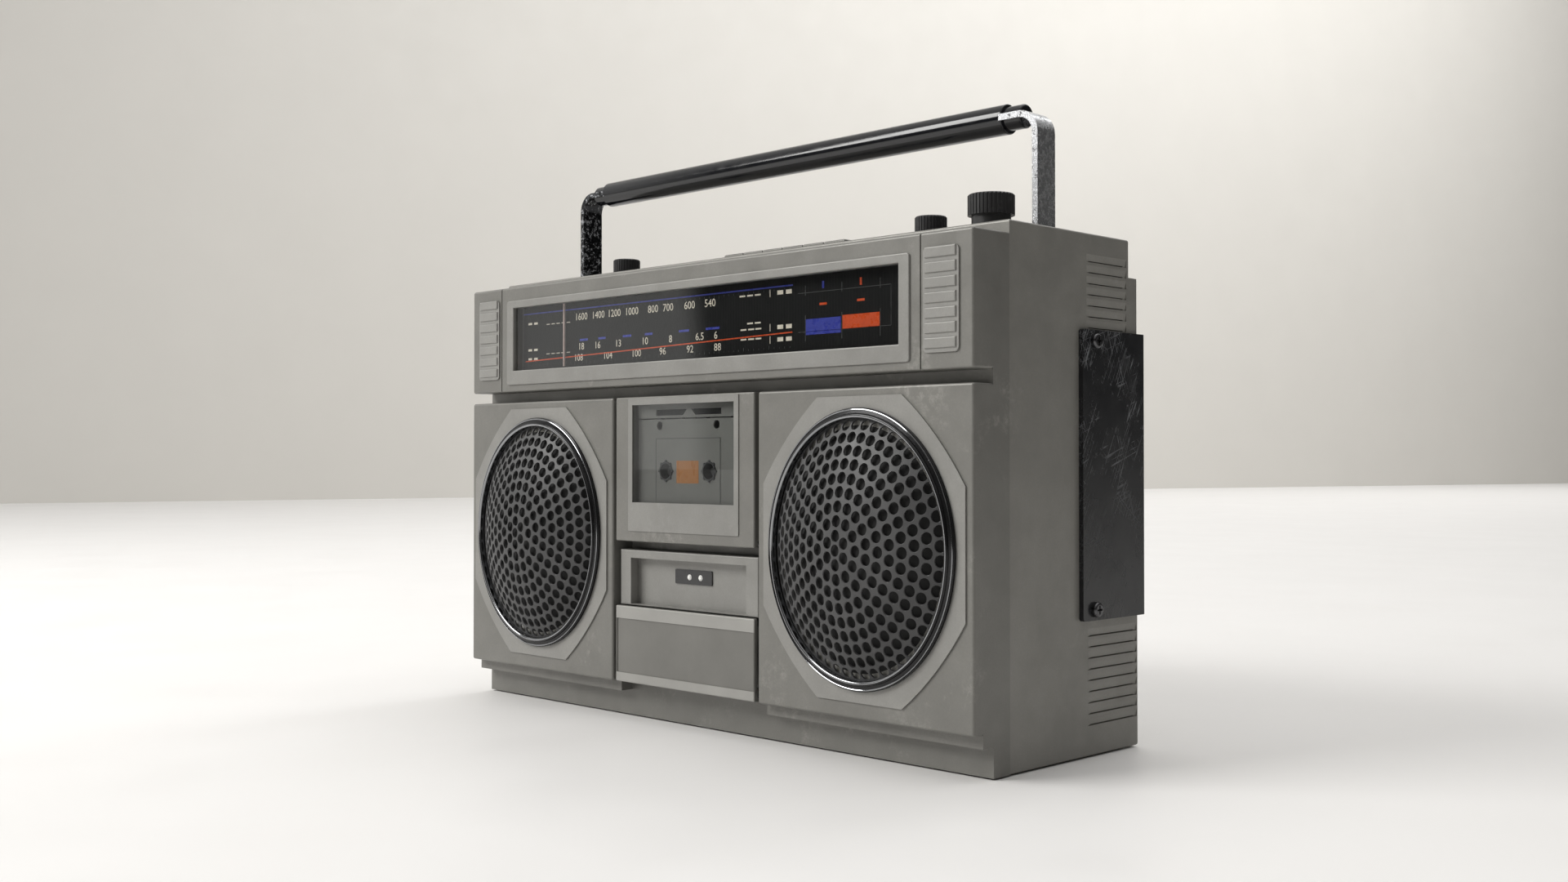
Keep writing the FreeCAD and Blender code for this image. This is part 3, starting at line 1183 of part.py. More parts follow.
def pivot_pins():
    """Every plain steel pin and rod that is held in the case."""
    pins = [
        rod("x", ("rail_y", "rail_z"), ("-bezel_half - 6", "bezel_half + 6"), "rail_r"),
        rod("x", ("key_pivot_y", "key_pivot_z"), ("key_x - 6", "keys_end + 6"), "key_rod_r"),
        rod("y", ("mast_x", "mast_z"), ("rear_top_y - wall / 2", "back_y"), "lid_pin_r"),
    ]
    for low, high in both_sides("slot_in - 2", "slot_out + 2"):
        pins.append(rod("x", ("handle_y", "pivot_z"), (low, high), "pivot_r"))
    for low, high in both_sides("door_half - 6", "column_half + wall"):
        pins.append(rod("x", ("hinge_y", "hinge_z"), (low, high), "hinge_r"))
        pins.append(rod("x", ("hinge_y", "flap_hinge_z"), (low, high), "hinge_r"))
    return group(pins, "pivot_pins")


def small_knob(name, x):
    """Ribbed knob on a stem."""
    owner = turned(name, [("0", "-14"), ("stem_r", "-14"), ("stem_r", "knob_gap"),
                          ("small_knob_r", "knob_gap"),
                          ("small_knob_r", "small_knob_h - 0.8"), ("small_knob_r - 0.8", "small_knob_h"),
                          ("0", "small_knob_h")], x, "knob_y", "rear_h")
    return grooves(owner, "small_knob_r + 0.15", "0.55", ("knob_gap", "small_knob_h"), KNURLS)


def tuning_knob():
    """Large ribbed knob over a narrower skirt, with the cord bobbin on its stem."""
    rim, top = "(knob_gap + big_skirt_h)", "(knob_gap + big_skirt_h + big_knob_h)"
    owner = turned("tuning_knob", [("0", "-28"), ("bobbin_r", "-28"), ("bobbin_r", "-20"), ("stem_r", "-20"),
                                   ("stem_r", "knob_gap"), ("big_skirt_r", "knob_gap"), ("big_skirt_r", rim),
                                   ("big_knob_r", rim), ("big_knob_r", f"{top} - 0.8"),
                                   ("big_knob_r - 0.8", top), ("0", top)], "tuning_x", "knob_y", "rear_h")
    return grooves(owner, "big_knob_r + 0.2", "0.7", (rim, top), KNURLS + 6)


def control_units():
    """Volume and tone controls under the top and the tuning capacitor, with bores for stems."""
    profile = [("stem_r + run_gap", "-wall"), ("7.5", "-wall"), ("7.5", "-9"), ("9", "-9"), ("9", "-19"),
               ("0", "-19"), ("0", "-15"), ("stem_r + run_gap", "-15")]
    profile.reverse()
    controls = [turned("control", profile, x, "knob_y", "rear_h") for x in ("volume_x", "tone_x")]
    return group(controls + [tuning_capacitor()], "control_units")


def key(index, name):
    """Piano key: a cap through the top and a lever on the rod behind it."""
    left = f"key_x + {index} * key_pitch"
    right = f"{left} + key_pitch - key_gap"
    middle = f"{left} + (key_pitch - key_gap) / 2"
    cap = block((left, right), ("key_y", "key_y + key_d"), ("rear_h - wall - 6", "key_top"))
    soft = rounded(cap, "1.2", in_plane("z", "key_top"))
    lever = block((f"{middle} - 3", f"{middle} + 3"), ("key_y + 8", "key_pivot_y + 4"),
                  ("key_pivot_z - 4", "key_pivot_z + 3"))
    bore = rod("x", ("key_pivot_y", "key_pivot_z"), (f"{middle} - 5", f"{middle} + 5"), "key_rod_r + run_gap")
    return cut(fuse([soft, lever]), [bore], "key_" + name)


# --- back and power --------------------------------------------------------------------------

def battery_lid():
    """Lid of the battery bay, flush with the back, on two stub pivots."""
    y = ("back_y - wall", "back_y")
    plate = rounded(block(("-bay_half + fit_gap", "bay_half - fit_gap"), y,
                          ("bay_z + 0.9", "bay_z + bay_h - 0.4")), "0.6", in_plane("y", "back_y"))
    stubs = [rod("x", ("back_y - wall / 2", "bay_z + 2"), side, "lid_pin_r")
             for side in both_sides("bay_half - 2", "bay_half + 1.4")]
    thumb = block(("-12", "12"), ("back_y - 1", "back_y + 1"), ("bay_z + bay_h - 8", "bay_z + bay_h - 2"))
    grips = [block(("-10", "10"), ("back_y + 0.4", "back_y + 2"), (z, f"{z} + 1"))
             for z in ("bay_z + bay_h - 6.6", "bay_z + bay_h - 4.4")]
    return fuse([plate, cut(thumb, grips)] + stubs, "battery_lid")


def batteries():
    """Six D cells in two rows."""
    profile = [("0", "0"), ("cell_r - 0.6", "0"), ("cell_r", "0.6"), ("cell_r", "cell_l - 3"),
               ("cell_r - 1.5", "cell_l - 1.6"), ("4.6", "cell_l - 1.6"), ("4.6", "cell_l"), ("0", "cell_l")]
    cells = []
    for row in ("-0.5", "0.5"):
        for step in (-1.5, -0.5, 0.5):
            cells.append(turned("cell", profile, f"{step} * (cell_l + 0.2)", "bay_y + 0.6 + cell_r",
                                f"bay_z + bay_h / 2 + {row} * cell_pitch", TURNS["x"]))
    return group(cells, "batteries")


def battery_contacts():
    """Spring plates at both ends of each row of cells."""
    plates = []
    for side in both_sides("bay_half - 1", "bay_half"):
        for row in ("-0.5", "0.5"):
            middle = f"bay_z + bay_h / 2 + {row} * cell_pitch"
            plates.append(block(side, ("bay_y + 4", "bay_y + 28"), (f"{middle} - 12", f"{middle} + 12")))
    springs = []
    for side, span in (("1", ("1.5 * (cell_l + 0.2) + 0.4", "bay_half - 1")),
                       ("-1", ("-bay_half + 1", "-1.5 * (cell_l + 0.2) - 0.4"))):
        for index, row in enumerate(("-0.5", "0.5")):
            middle = f"bay_z + bay_h / 2 + {row} * cell_pitch"
            springs.append(rod("x", ("bay_y + 0.6 + cell_r", middle), span, "4"))
    joined = [fuse([plate, spring]) for plate, spring in zip(plates, springs)]
    return group(joined, "battery_contacts")


def rear_sockets():
    """Mains inlet with two pins, and two round jacks."""
    box = block(("inlet_x - 12", "inlet_x + 12"), ("back_y - 14", "back_y + 0.6"),
                ("inlet_z - 8", "inlet_z + 8"))
    well = block(("inlet_x - 8", "inlet_x + 8"), ("back_y - 10", BEHIND), ("inlet_z - 4.2", "inlet_z + 4.2"))
    pins = [rod("y", (f"inlet_x + {step}", "inlet_z"), ("back_y - 11", "back_y - 2"), "1.2")
            for step in ("-4.3", "4.3")]
    sockets = [fuse([cut(box, [well])] + pins)]
    for step in (1, 2):
        z = f"inlet_z + 6 + {step} * 18"
        sockets.append(cut(fuse([rod("y", ("inlet_x", z), ("back_y - 14", "back_y"), "5"),
                                 rod("y", ("inlet_x", z), ("back_y", "back_y + 1.2"), "6.2")]),
                           [rod("y", ("inlet_x", z), ("back_y - 12", BEHIND), "1.8")]))
    return group(sockets, "rear_sockets")


def transformer():
    """Mains transformer on the floor of the case: core and winding."""
    core = block(("-215", "-170"), ("72", "112"), ("wall", "wall + 38"))
    winding = rounded(block(("-209", "-176"), ("64", "120"), ("wall + 7", "wall + 31")), "3", along("y"))
    return fuse([core, winding], "transformer")


def main_board():
    """Circuit board with its larger components."""
    board = block(("-70", "70"), ("112", "113.6"), ("110", "280"))
    parts = [rod("y", (x, z), ("98", "112.8"), radius) for x, z, radius in
             (("-50", "130", "8"), ("-28", "130", "8"), ("0", "150", "6"), ("40", "240", "5"))]
    sink = block(("20", "60"), ("92", "112.8"), ("125", "150"))
    return fuse([board, sink] + parts, "main_board")


def aerial_mast():
    """Outer tube of the telescopic aerial with its flat pivot eye."""
    eye = rod("y", ("mast_x", "mast_z"), ("mast_y - 1.8", "mast_y + 1.8"), "4.2")
    neck = block(("mast_x - 12", "mast_x"), ("mast_y - 1.5", "mast_y + 1.5"),
                 ("mast_z - 1.6", "mast_z + 1.6"))
    tube = rod("x", ("mast_y", "mast_z"), ("mast_x - 10 - mast_l", "mast_x - 10"), "mast_r")
    bore = rod("x", ("mast_y", "mast_z"), ("mast_x - 20 - mast_l", "mast_x - 16"), "tip_r + run_gap")
    hole = rod("y", ("mast_x", "mast_z"), ("rear_top_y", "back_y"), "lid_pin_r + run_gap")
    return cut(fuse([eye, neck, tube]), [bore, hole], "aerial_mast")


def aerial_tip():
    """Inner rod of the aerial with its end button."""
    inner = rod("x", ("mast_y", "mast_z"), ("mast_x - 12 - mast_l", "mast_x - 18"), "tip_r")
    blank = rod("x", ("mast_y", "mast_z"), ("mast_x - 18 - mast_l", "mast_x - 10.3 - mast_l"), "mast_r + 0.5")
    button = rounded(blank,
                     "1", lambda edge: in_plane("x", "mast_x - 18 - mast_l")(edge))
    return fuse([inner, button], "aerial_tip")


# --- build and write -------------------------------------------------------------------------

def make_all():
    """Every sub-part, in the order of assembly."""
    return [
        front_shell(), rear_case(), case_screws(), rubber_feet(), end_plates(), side_guards(),
        dial_bezel(), dial_window(), dial_scale(), dial_pointer(), tuning_drum(),
        speaker_trims(), speaker_rings(), speaker_grilles(), speaker_frames(),
        speaker_cone("speaker_cone_right", "1"), speaker_cone("speaker_cone_left", "-1"),
        cassette_door(), door_bezel(), door_window(), cassette_holder(), cassette_shell(),
        reel("reel_left", "-1", "21"), reel("reel_right", "1", "16"),
        spindle("spindle_left", "-1"), spindle("spindle_right", "1"), deck_plate(), flywheel(),
        pinch_roller(), head_bridge(), tape_head(), deck_motor(), motor_pulley(), drive_belt(),
        indicator_panel(), indicator_window(), indicator_lamps(), band_flap(), band_slider(),
        handle_strip(), handle_grip(), pivot_pins(),
        small_knob("volume_knob", "volume_x"), small_knob("tone_knob", "tone_x"), tuning_knob(),
        control_units(), battery_lid(), batteries(), battery_contacts(), rear_sockets(), transformer(),
        main_board(), aerial_mast(), aerial_tip(),
    ] + [key(index, name) for index, name in enumerate(KEYS)]


def check(parts):
    """Stop when an object failed or a sub-part has no sound solid."""
    for item in doc.Objects:
        if "Invalid" in item.State or "Error" in item.State:
            raise RuntimeError(f"{item.Name} failed: {item.State}")
    for item in parts:
        if item.Shape.isNull() or not item.Shape.isValid() or not item.Shape.Solids:
            raise RuntimeError(f"{item.Label} has no sound solid")


def write(parts):
    """Write each sub-part to a file named after it."""
    os.makedirs("parts", exist_ok=True)
    for item in parts:
        item.Shape.exportStep(f"parts/{item.Label}.step")
        print(f"{item.Label}: {len(item.Shape.Solids)} solids, {item.Shape.Volume:.0f} mm3")


scratch = make_sheet()
parts = make_all()
doc.recompute()
check(parts)
write(parts)
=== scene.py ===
import math

import bmesh
import bpy
from bpy.props import FloatProperty, FloatVectorProperty, IntProperty, PointerProperty
from mathutils import Matrix, Vector


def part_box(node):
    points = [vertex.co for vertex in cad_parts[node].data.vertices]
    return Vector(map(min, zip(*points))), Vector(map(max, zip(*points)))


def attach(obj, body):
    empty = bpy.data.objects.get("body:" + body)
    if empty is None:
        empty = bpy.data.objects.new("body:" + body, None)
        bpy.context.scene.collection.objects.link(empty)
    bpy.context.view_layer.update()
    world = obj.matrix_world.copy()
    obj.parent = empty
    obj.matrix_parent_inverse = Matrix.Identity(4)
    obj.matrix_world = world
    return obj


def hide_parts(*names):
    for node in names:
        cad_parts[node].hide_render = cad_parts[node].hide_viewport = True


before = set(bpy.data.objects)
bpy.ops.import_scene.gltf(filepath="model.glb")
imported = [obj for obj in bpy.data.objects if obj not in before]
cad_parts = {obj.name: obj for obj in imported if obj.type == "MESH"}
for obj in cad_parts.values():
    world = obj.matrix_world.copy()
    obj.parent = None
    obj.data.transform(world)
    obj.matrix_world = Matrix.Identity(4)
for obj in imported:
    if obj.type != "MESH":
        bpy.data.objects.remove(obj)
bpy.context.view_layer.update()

bl_info = {
    "name": "Radio cassette recorder looks",
    "version": (1, 0, 0),
    "blender": (4, 5, 0),
    "location": "3D View > Sidebar > Recorder",
    "description": "Grilles, rings, dial print, cassette print and finishes of a radio cassette recorder",
    "category": "Object",
}

MM = 0.001
SCALE_DEPTH = 8.0
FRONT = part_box("dial_scale")[0].y - SCALE_DEPTH * MM
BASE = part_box("front_shell")[0].z
CONE_LOW, CONE_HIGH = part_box("speaker_cone_right")
SPEAKER_X = (CONE_LOW.x + CONE_HIGH.x) / 2 / MM
SPEAKER_Z = ((CONE_LOW.z + CONE_HIGH.z) / 2 - BASE) / MM


# --- sizes and colours -----------------------------------------------------------------------

class GrilleSizes(bpy.types.PropertyGroup):
    half_width: FloatProperty(name="Half width", description="Half width of the domed part",
                              default=66.7 * MM, unit="LENGTH")
    rise: FloatProperty(name="Rise", description="Rise of the dome", default=20.0 * MM, unit="LENGTH")
    stretch: FloatProperty(name="Stretch", description="Height of the dome over its width", default=1.15)
    rings: IntProperty(name="Rings", description="Rings of holes round the middle one", default=9)
    hole: FloatProperty(name="Hole", description="Radius of a hole", default=3.1 * MM, unit="LENGTH")
    wall: FloatProperty(name="Wall", description="Thickness of the sheet", default=1.1 * MM, unit="LENGTH")
    sides: IntProperty(name="Sides", description="Corners of one hole", default=14)


class FinishColours(bpy.types.PropertyGroup):
    front: FloatVectorProperty(name="Front", description="Paint of the front", subtype="COLOR",
                               default=(0.192, 0.188, 0.173), size=3)
    # the rear case shares the front's paint; this lighter copy is painted light on its shaded sides
    rear: FloatVectorProperty(name="Rear", description="Paint of the rear case", subtype="COLOR",
                              default=(0.238, 0.232, 0.213), size=3)
    plate: FloatVectorProperty(name="Plates", description="Light plates and frames", subtype="COLOR",
                               default=(0.262, 0.258, 0.243), size=3)
    grille: FloatVectorProperty(name="Grilles", description="Perforated steel", subtype="COLOR",
                                default=(0.062, 0.062, 0.063), size=3)
    blue: FloatVectorProperty(name="Blue print", description="Blue print of the dial", subtype="COLOR",
                              default=(0.045, 0.06, 0.42), size=3)
    red: FloatVectorProperty(name="Red print", description="Red print of the dial", subtype="COLOR",
                             default=(0.72, 0.085, 0.014), size=3)
    amber: FloatVectorProperty(name="Tape window", description="Window of the cassette", subtype="COLOR",
                               default=(0.36, 0.145, 0.035), size=3)


class StageSettings(bpy.types.PropertyGroup):
    lens: FloatProperty(name="Lens", description="Focal length on a sensor 36 mm wide", default=35.76)
    yaw: FloatProperty(name="Yaw", description="Turn of the camera", default=math.radians(44.895),
                       subtype="ANGLE")
    pitch: FloatProperty(name="Pitch", description="Upward tilt of the camera",
                         default=math.radians(0.702), subtype="ANGLE")
    key: FloatProperty(name="Key light", description="Power of the key light in watts", default=112.0)
    top: FloatProperty(name="Top light", description="Power of the overhead light in watts", default=30.0)
    wall: FloatProperty(name="Wall light", description="Power of the light on the wall in watts",
                        default=400.0)
    world: FloatProperty(name="Surround", description="Strength of the surrounding light", default=1.0)


# --- small helpers ---------------------------------------------------------------------------

def spot(x, y, z):
    """Place from millimetres: x from the middle, y from the front plane, z from the underside."""
    return Vector((x * MM, FRONT + y * MM, BASE + z * MM))


def make_piece(name, mesh_data, body, material, smooth=None):
    """Turn a bmesh into a piece that rides on a body."""
    bmesh.ops.recalc_face_normals(mesh_data, faces=mesh_data.faces)
    mesh = bpy.data.meshes.new(name)
    mesh_data.to_mesh(mesh)
    mesh_data.free()
    piece = bpy.data.objects.new(name, mesh)
    bpy.context.scene.collection.objects.link(piece)
    mesh.materials.append(material)
    if smooth is not None:
        mesh.shade_smooth()
        mesh.set_sharp_from_angle(angle=math.radians(smooth))
    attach(piece, body)
    return piece


def add_block(shape, x, y, z):
    """Add a box between two values along each axis, in millimetres."""
    low, high = spot(x[0], y[0], z[0]), spot(x[1], y[1], z[1])
    size = high - low
    where = Matrix.Translation((low + high) / 2) @ Matrix.Diagonal((size.x, size.y, size.z, 1.0))
    bmesh.ops.create_cube(shape, size=1.0, matrix=where)


def add_print(shape, x, z, width, height, y, lean=0.0):
    """Add a thin printed bar round a centre."""
    where = (Matrix.Translation(spot(x, y, z)) @ Matrix.Rotation(-lean, 4, "Y")
             @ Matrix.Diagonal((width * MM, 0.06 * MM, height * MM, 1.0)))
    bmesh.ops.create_cube(shape, size=1.0, matrix=where)


def add_number(shape, text, x, z, size, y):
    """Add a printed number, standing upright and facing the front."""
    curve = bpy.data.curves.new("number", "FONT")
    curve.body = text
    curve.size = size * MM
    curve.align_x = "CENTER"
    curve.align_y = "CENTER"
    curve.resolution_u = 3
    curve.extrude = 0.03 * MM
    holder = bpy.data.objects.new("number", curve)
    bpy.context.scene.collection.objects.link(holder)
    bpy.context.view_layer.update()
    graph = bpy.context.evaluated_depsgraph_get()
    mesh = bpy.data.meshes.new_from_object(holder.evaluated_get(graph))
    mesh.transform(Matrix.Translation(spot(x, y, z)) @ Matrix.Rotation(math.pi / 2, 4, "X"))
    shape.from_mesh(mesh)
    bpy.data.objects.remove(holder)
    bpy.data.meshes.remove(mesh)
    bpy.data.curves.remove(curve)


# --- finishes --------------------------------------------------------------------------------

class Finish:
    """A procedural material that is built up step by step."""

    def __init__(self, name):
        self.material = bpy.data.materials.new(name)
        self.material.use_nodes = True
        self.tree = self.material.node_tree
        self.shader = self.tree.nodes["Principled BSDF"]
        self.place = self.tree.nodes.new("ShaderNodeTexCoord").outputs["Object"]

    def link(self, start, end):
        self.tree.links.new(start, end)
        return self

    def noise(self, scale, detail=3.0, rough=0.55, stretch=None, distort=0.0):
        """Noise in object space; stretch scales it along the axes."""
        node = self.tree.nodes.new("ShaderNodeTexNoise")
        node.inputs["Scale"].default_value = scale
        node.inputs["Detail"].default_value = detail
        node.inputs["Roughness"].default_value = rough
        node.inputs["Distortion"].default_value = distort
        start = self.mapped(self.place, "Scale", stretch) if stretch else self.place
        self.link(start, node.inputs["Vector"])
        return node.outputs["Fac"]

    def mapped(self, start, kind, amount):
        """Places scaled or turned by an amount along each axis."""
        node = self.tree.nodes.new("ShaderNodeMapping")
        node.inputs[kind].default_value = amount
        self.link(start, node.inputs["Vector"])
        return node.outputs["Vector"]

    def along(self, axis):
        """Distance along one axis in object space."""
        node = self.tree.nodes.new("ShaderNodeSeparateXYZ")
        self.link(self.place, node.inputs[0])
        return node.outputs[axis]

    def scale_range(self, value, low, high, to_low=0.0, to_high=1.0):
        """Value stretched from one range to another and held at its ends."""
        node = self.tree.nodes.new("ShaderNodeMapRange")
        for key, number in (("From Min", low), ("From Max", high), ("To Min", to_low), ("To Max", to_high)):
            node.inputs[key].default_value = number
        self.link(value, node.inputs["Value"])
        return node.outputs["Result"]

    def math(self, kind, one, two):
        """Two values, given as numbers or as outputs, put through one operation."""
        node = self.tree.nodes.new("ShaderNodeMath")
        node.operation = kind
        for socket, value in zip(node.inputs, (one, two)):
            if isinstance(value, (int, float)):
                socket.default_value = value
            else:
                self.link(value, socket)
        return node.outputs["Value"]

    def blend(self, factor, one, two):
        """Mix two colours, given as numbers or as outputs."""
        node = self.tree.nodes.new("ShaderNodeMix")
        node.data_type = "RGBA"
        self.link(factor, node.inputs[0])
        for socket, value in ((node.inputs[6], one), (node.inputs[7], two)):
            if isinstance(value, tuple):
                socket.default_value = (*value, 1.0)
            else:
                self.link(value, socket)
        return node.outputs[2]

    def scratches(self, turn, across, width, cover):
        """Thin long lines in one direction, kept in patches; turn is about X, for upright sides."""
        lines = self.tree.nodes.new("ShaderNodeTexNoise")
        lines.inputs["Scale"].default_value = 1.0
        lines.inputs["Detail"].default_value = 1.0
        turned = self.mapped(self.place, "Rotation", (turn, 0, 0))
        drawn = self.mapped(turned, "Scale", (across, across, across * 0.03))
        self.link(drawn, lines.inputs["Vector"])
        off = self.math("ABSOLUTE", self.math("SUBTRACT", lines.outputs["Fac"], 0.5), 0.0)
        line = self.scale_range(off, 0.0, width, 1.0, 0.0)
        patch = self.scale_range(self.noise(38.0, 5.0, 0.65), 1 - cover - 0.03, 1 - cover + 0.06)
        return self.math("MULTIPLY", line, patch)

    def colour(self, output):
        return self.link(output, self.shader.inputs["Base Color"])

    def rough(self, value, low, high):
        """Roughness between two values, by a noise."""
        return self.link(self.scale_range(value, 0.3, 0.7, low, high), self.shader.inputs["Roughness"])

    def bump(self, value, height, strength):
        """Relief of a height in millimetres."""
        node = self.tree.nodes.new("ShaderNodeBump")
        node.inputs["Strength"].default_value = strength
        node.inputs["Distance"].default_value = height * MM
        self.link(value, node.inputs["Height"])
        return self.link(node.outputs["Normal"], self.shader.inputs["Normal"])

    def fixed(self, **values):
        """Constants on the shader, with underscores for the blanks in their names."""
        for key, value in values.items():
            self.shader.inputs[key.replace("_", " ")].default_value = value
        return self


def times(colour, factor):
    """Colour made lighter or darker."""
    return tuple(min(1.0, part * factor) for part in colour)


def painted(name, colour, wear=0.5, metal=0.25, rough=(0.34, 0.5)):
    """Silver-grey painted plastic: cloudy mottling, fine grain and pale rubbed patches."""
    done = Finish(name)
    cloud = done.scale_range(done.noise(26.0, 5.0, 0.62), 0.35, 0.68)
    base = done.blend(cloud, times(colour, 0.9), times(colour, 1.08))
    grain = done.noise(900.0, 2.0)
    grainy = done.blend(done.scale_range(grain, 0.3, 0.7, 0.0, 0.35), base, times(colour, 0.8))
    patch = done.scale_range(done.noise(16.0, 9.0, 0.72, distort=0.4), 0.56, 0.66)
    specks = done.scale_range(done.noise(210.0, 7.0, 0.75), 0.46, 0.6)
    rubbed = done.math("MULTIPLY", done.math("MULTIPLY", patch, specks), wear)
    done.colour(done.blend(rubbed, grainy, times(colour, 1.45)))
    done.rough(done.noise(60.0, 5.0), *rough)
    done.bump(grain, 0.05, 0.25)
    return done.fixed(Metallic=metal).material


def moulded(name, colour, rough=(0.35, 0.5), metal=0.0, wear=0.25):
    """Moulded plastic, rubber or plain metal: slight cloud, fine grain."""
    done = Finish(name)
    cloud = done.scale_range(done.noise(40.0, 5.0, 0.6), 0.35, 0.7)
    base = done.blend(cloud, times(colour, 0.85), times(colour, 1.15))
    dust = done.scale_range(done.noise(180.0, 7.0, 0.7), 0.56, 0.72, 0.0, wear)
    done.colour(done.blend(dust, base, tuple(part * 0.7 + 0.12 for part in colour)))
    done.rough(done.noise(90.0, 6.0), *rough)
    done.bump(done.noise(1400.0, 2.0), 0.04, 0.25)
    return done.fixed(Metallic=metal).material


def brushed(name, colour, rough=(0.22, 0.38)):
    """Metal with a fine drawn grain."""
    done = Finish(name)
    lines = done.noise(60.0, 4.0, 0.6, stretch=(1, 1, 30))
    done.colour(done.blend(done.scale_range(lines, 0.3, 0.7), times(colour, 0.8), times(colour, 1.1)))
    done.rough(done.noise(130.0, 5.0), *rough)
    done.bump(lines, 0.03, 0.3)
    return done.fixed(Metallic=1.0).material


def worn_chrome(name, pits, shade=1.0):
    """Bright plating with pits and smears; the shade factor darkens the plating as painted dark reflection.
    """
    done = Finish(name)
    speckle = done.noise(300.0, 9.0, 0.8, stretch=(1, 1, 0.6))
    pit = done.scale_range(speckle, 0.64 - pits * 0.09, 0.68 - pits * 0.07)
    smear = done.scale_range(done.noise(30.0, 6.0, 0.65), 0.4, 0.65)
    done.colour(done.blend(smear, times((0.6, 0.61, 0.63), shade), times((0.46, 0.47, 0.49), shade)))
    rough = done.math("ADD", done.math("MULTIPLY", pit, 0.42), done.math("MULTIPLY", smear, 0.05))
    done.link(done.math("ADD", rough, 0.07), done.shader.inputs["Roughness"])
    done.bump(pit, -0.12, 0.6)
    return done.fixed(Metallic=1.0).material


def pitted_strip(name):
    """Plating: dull and speckled at the right end and nearly black at the left end."""
    done = Finish(name)
    right = done.scale_range(done.along("X"), -0.12, 0.0)
    pit = done.scale_range(done.noise(330.0, 9.0, 0.8), 0.53, 0.6)
    left = done.blend(pit, (0.035, 0.036, 0.038), (0.40, 0.41, 0.43))
    dull = done.blend(pit, (0.66, 0.67, 0.69), (0.12, 0.12, 0.125))
    done.colour(done.blend(right, left, dull))
    rough = done.math("ADD", done.math("MULTIPLY", right, 0.16), done.math("MULTIPLY", pit, 0.2))
    done.link(done.math("ADD", rough, 0.1), done.shader.inputs["Roughness"])
    done.bump(pit, -0.12, 0.6)
    return done.fixed(Metallic=1.0).material


def scratched_black(name):
    """Glossy black paint with many fine scratches in its upper part."""
    done = Finish(name)
    both = done.scratches(0.5, 260.0, 0.02, 0.5)
    for turn, across, width in ((-0.35, 330.0, 0.018), (1.25, 200.0, 0.014), (-0.9, 160.0, 0.01)):
        both = done.math("MAXIMUM", both, done.scratches(turn, across, width, 0.46))
    chips = done.scale_range(done.noise(330.0, 8.0, 0.75), 0.62, 0.68)
    chips = done.math("MULTIPLY", chips, done.scale_range(done.noise(30.0, 3.0), 0.5, 0.6))
    marks = done.math("MAXIMUM", both, chips)
    upper = done.scale_range(done.along("Z"), 0.13, 0.2)
    shown = done.math("MULTIPLY", marks, done.math("ADD", done.math("MULTIPLY", upper, 0.45), 0.06))
    cloud = done.scale_range(done.noise(50.0, 6.0), 0.35, 0.65)
    cloud = done.blend(cloud, (0.006, 0.0065, 0.008), (0.016, 0.0165, 0.018))
    done.colour(done.blend(shown, cloud, (0.30, 0.31, 0.33)))
    rough = done.math("ADD", done.scale_range(done.noise(45.0, 6.0), 0.3, 0.7, 0.16, 0.3),
                      done.math("MULTIPLY", marks, 0.3))
    done.link(rough, done.shader.inputs["Roughness"])
    done.bump(marks, -0.05, 0.5)
    return done.material


def striped(name, colour, light, edges):
    """Painted plastic with lighter bands below and above the two heights, in frame metres."""
    done = Finish(name)
    cloud = done.scale_range(done.noise(26.0, 5.0, 0.62), 0.35, 0.68)
    base = done.blend(cloud, times(colour, 0.92), times(colour, 1.06))
    pale = done.blend(cloud, times(light, 0.95), times(light, 1.06))
    above = done.math("GREATER_THAN", done.along("Z"), edges[1])
    below = done.math("LESS_THAN", done.along("Z"), edges[0])
    front = done.math("LESS_THAN", done.along("Y"), FRONT + 0.4 * MM)
    band = done.math("MULTIPLY", done.math("MAXIMUM", above, below), front)
    done.colour(done.blend(band, base, pale))
    done.rough(done.noise(60.0, 5.0), 0.36, 0.5)
    done.bump(done.noise(900.0, 2.0), 0.05, 0.25)
    return done.fixed(Metallic=0.2).material


def clear_window(name, tint):
    """Thin clear plastic: mostly see-through, glossy by the angle, a little dusty."""
    done = Finish(name)
    nodes = done.tree.nodes
    nodes.remove(done.shader)
    through = nodes.new("ShaderNodeBsdfTransparent")
    through.inputs["Color"].default_value = (*tint, 1.0)
    gloss = nodes.new("ShaderNodeBsdfGlossy")
    gloss.inputs["Color"].default_value = (1, 1, 1, 1)
    done.link(done.scale_range(done.noise(60.0, 6.0), 0.3, 0.7, 0.008, 0.03), gloss.inputs["Roughness"])
    facing = nodes.new("ShaderNodeLayerWeight")
    facing.inputs["Blend"].default_value = 0.5
    slant = done.math("POWER", facing.outputs["Facing"], 4.0)
    edge = done.math("ADD", done.math("MULTIPLY", slant, 0.6), 0.03)
    dust = done.scale_range(done.noise(260.0, 8.0, 0.7), 0.6, 0.75, 0.0, 0.008)
    mix = nodes.new("ShaderNodeMixShader")
    done.link(done.math("ADD", edge, dust), mix.inputs[0])
    done.link(through.outputs[0], mix.inputs[1])
    done.link(gloss.outputs[0], mix.inputs[2])
    done.link(mix.outputs[0], nodes["Material Output"].inputs["Surface"])
    return done.material


def glowing(name, colour, strength):
    """Lit lamp, or print, tape window and pointer given a faint glow as painted light."""
    done = Finish(name)
    shade = done.blend(done.scale_range(done.noise(500.0, 4.0), 0.3, 0.7), times(colour, 0.8), colour)
    done.colour(shade)
    done.link(shade, done.shader.inputs["Emission Color"])
    done.rough(done.noise(200.0, 3.0), 0.2, 0.4)
    return done.fixed(Emission_Strength=strength).material


# --- pieces ----------------------------------------------------------------------------------

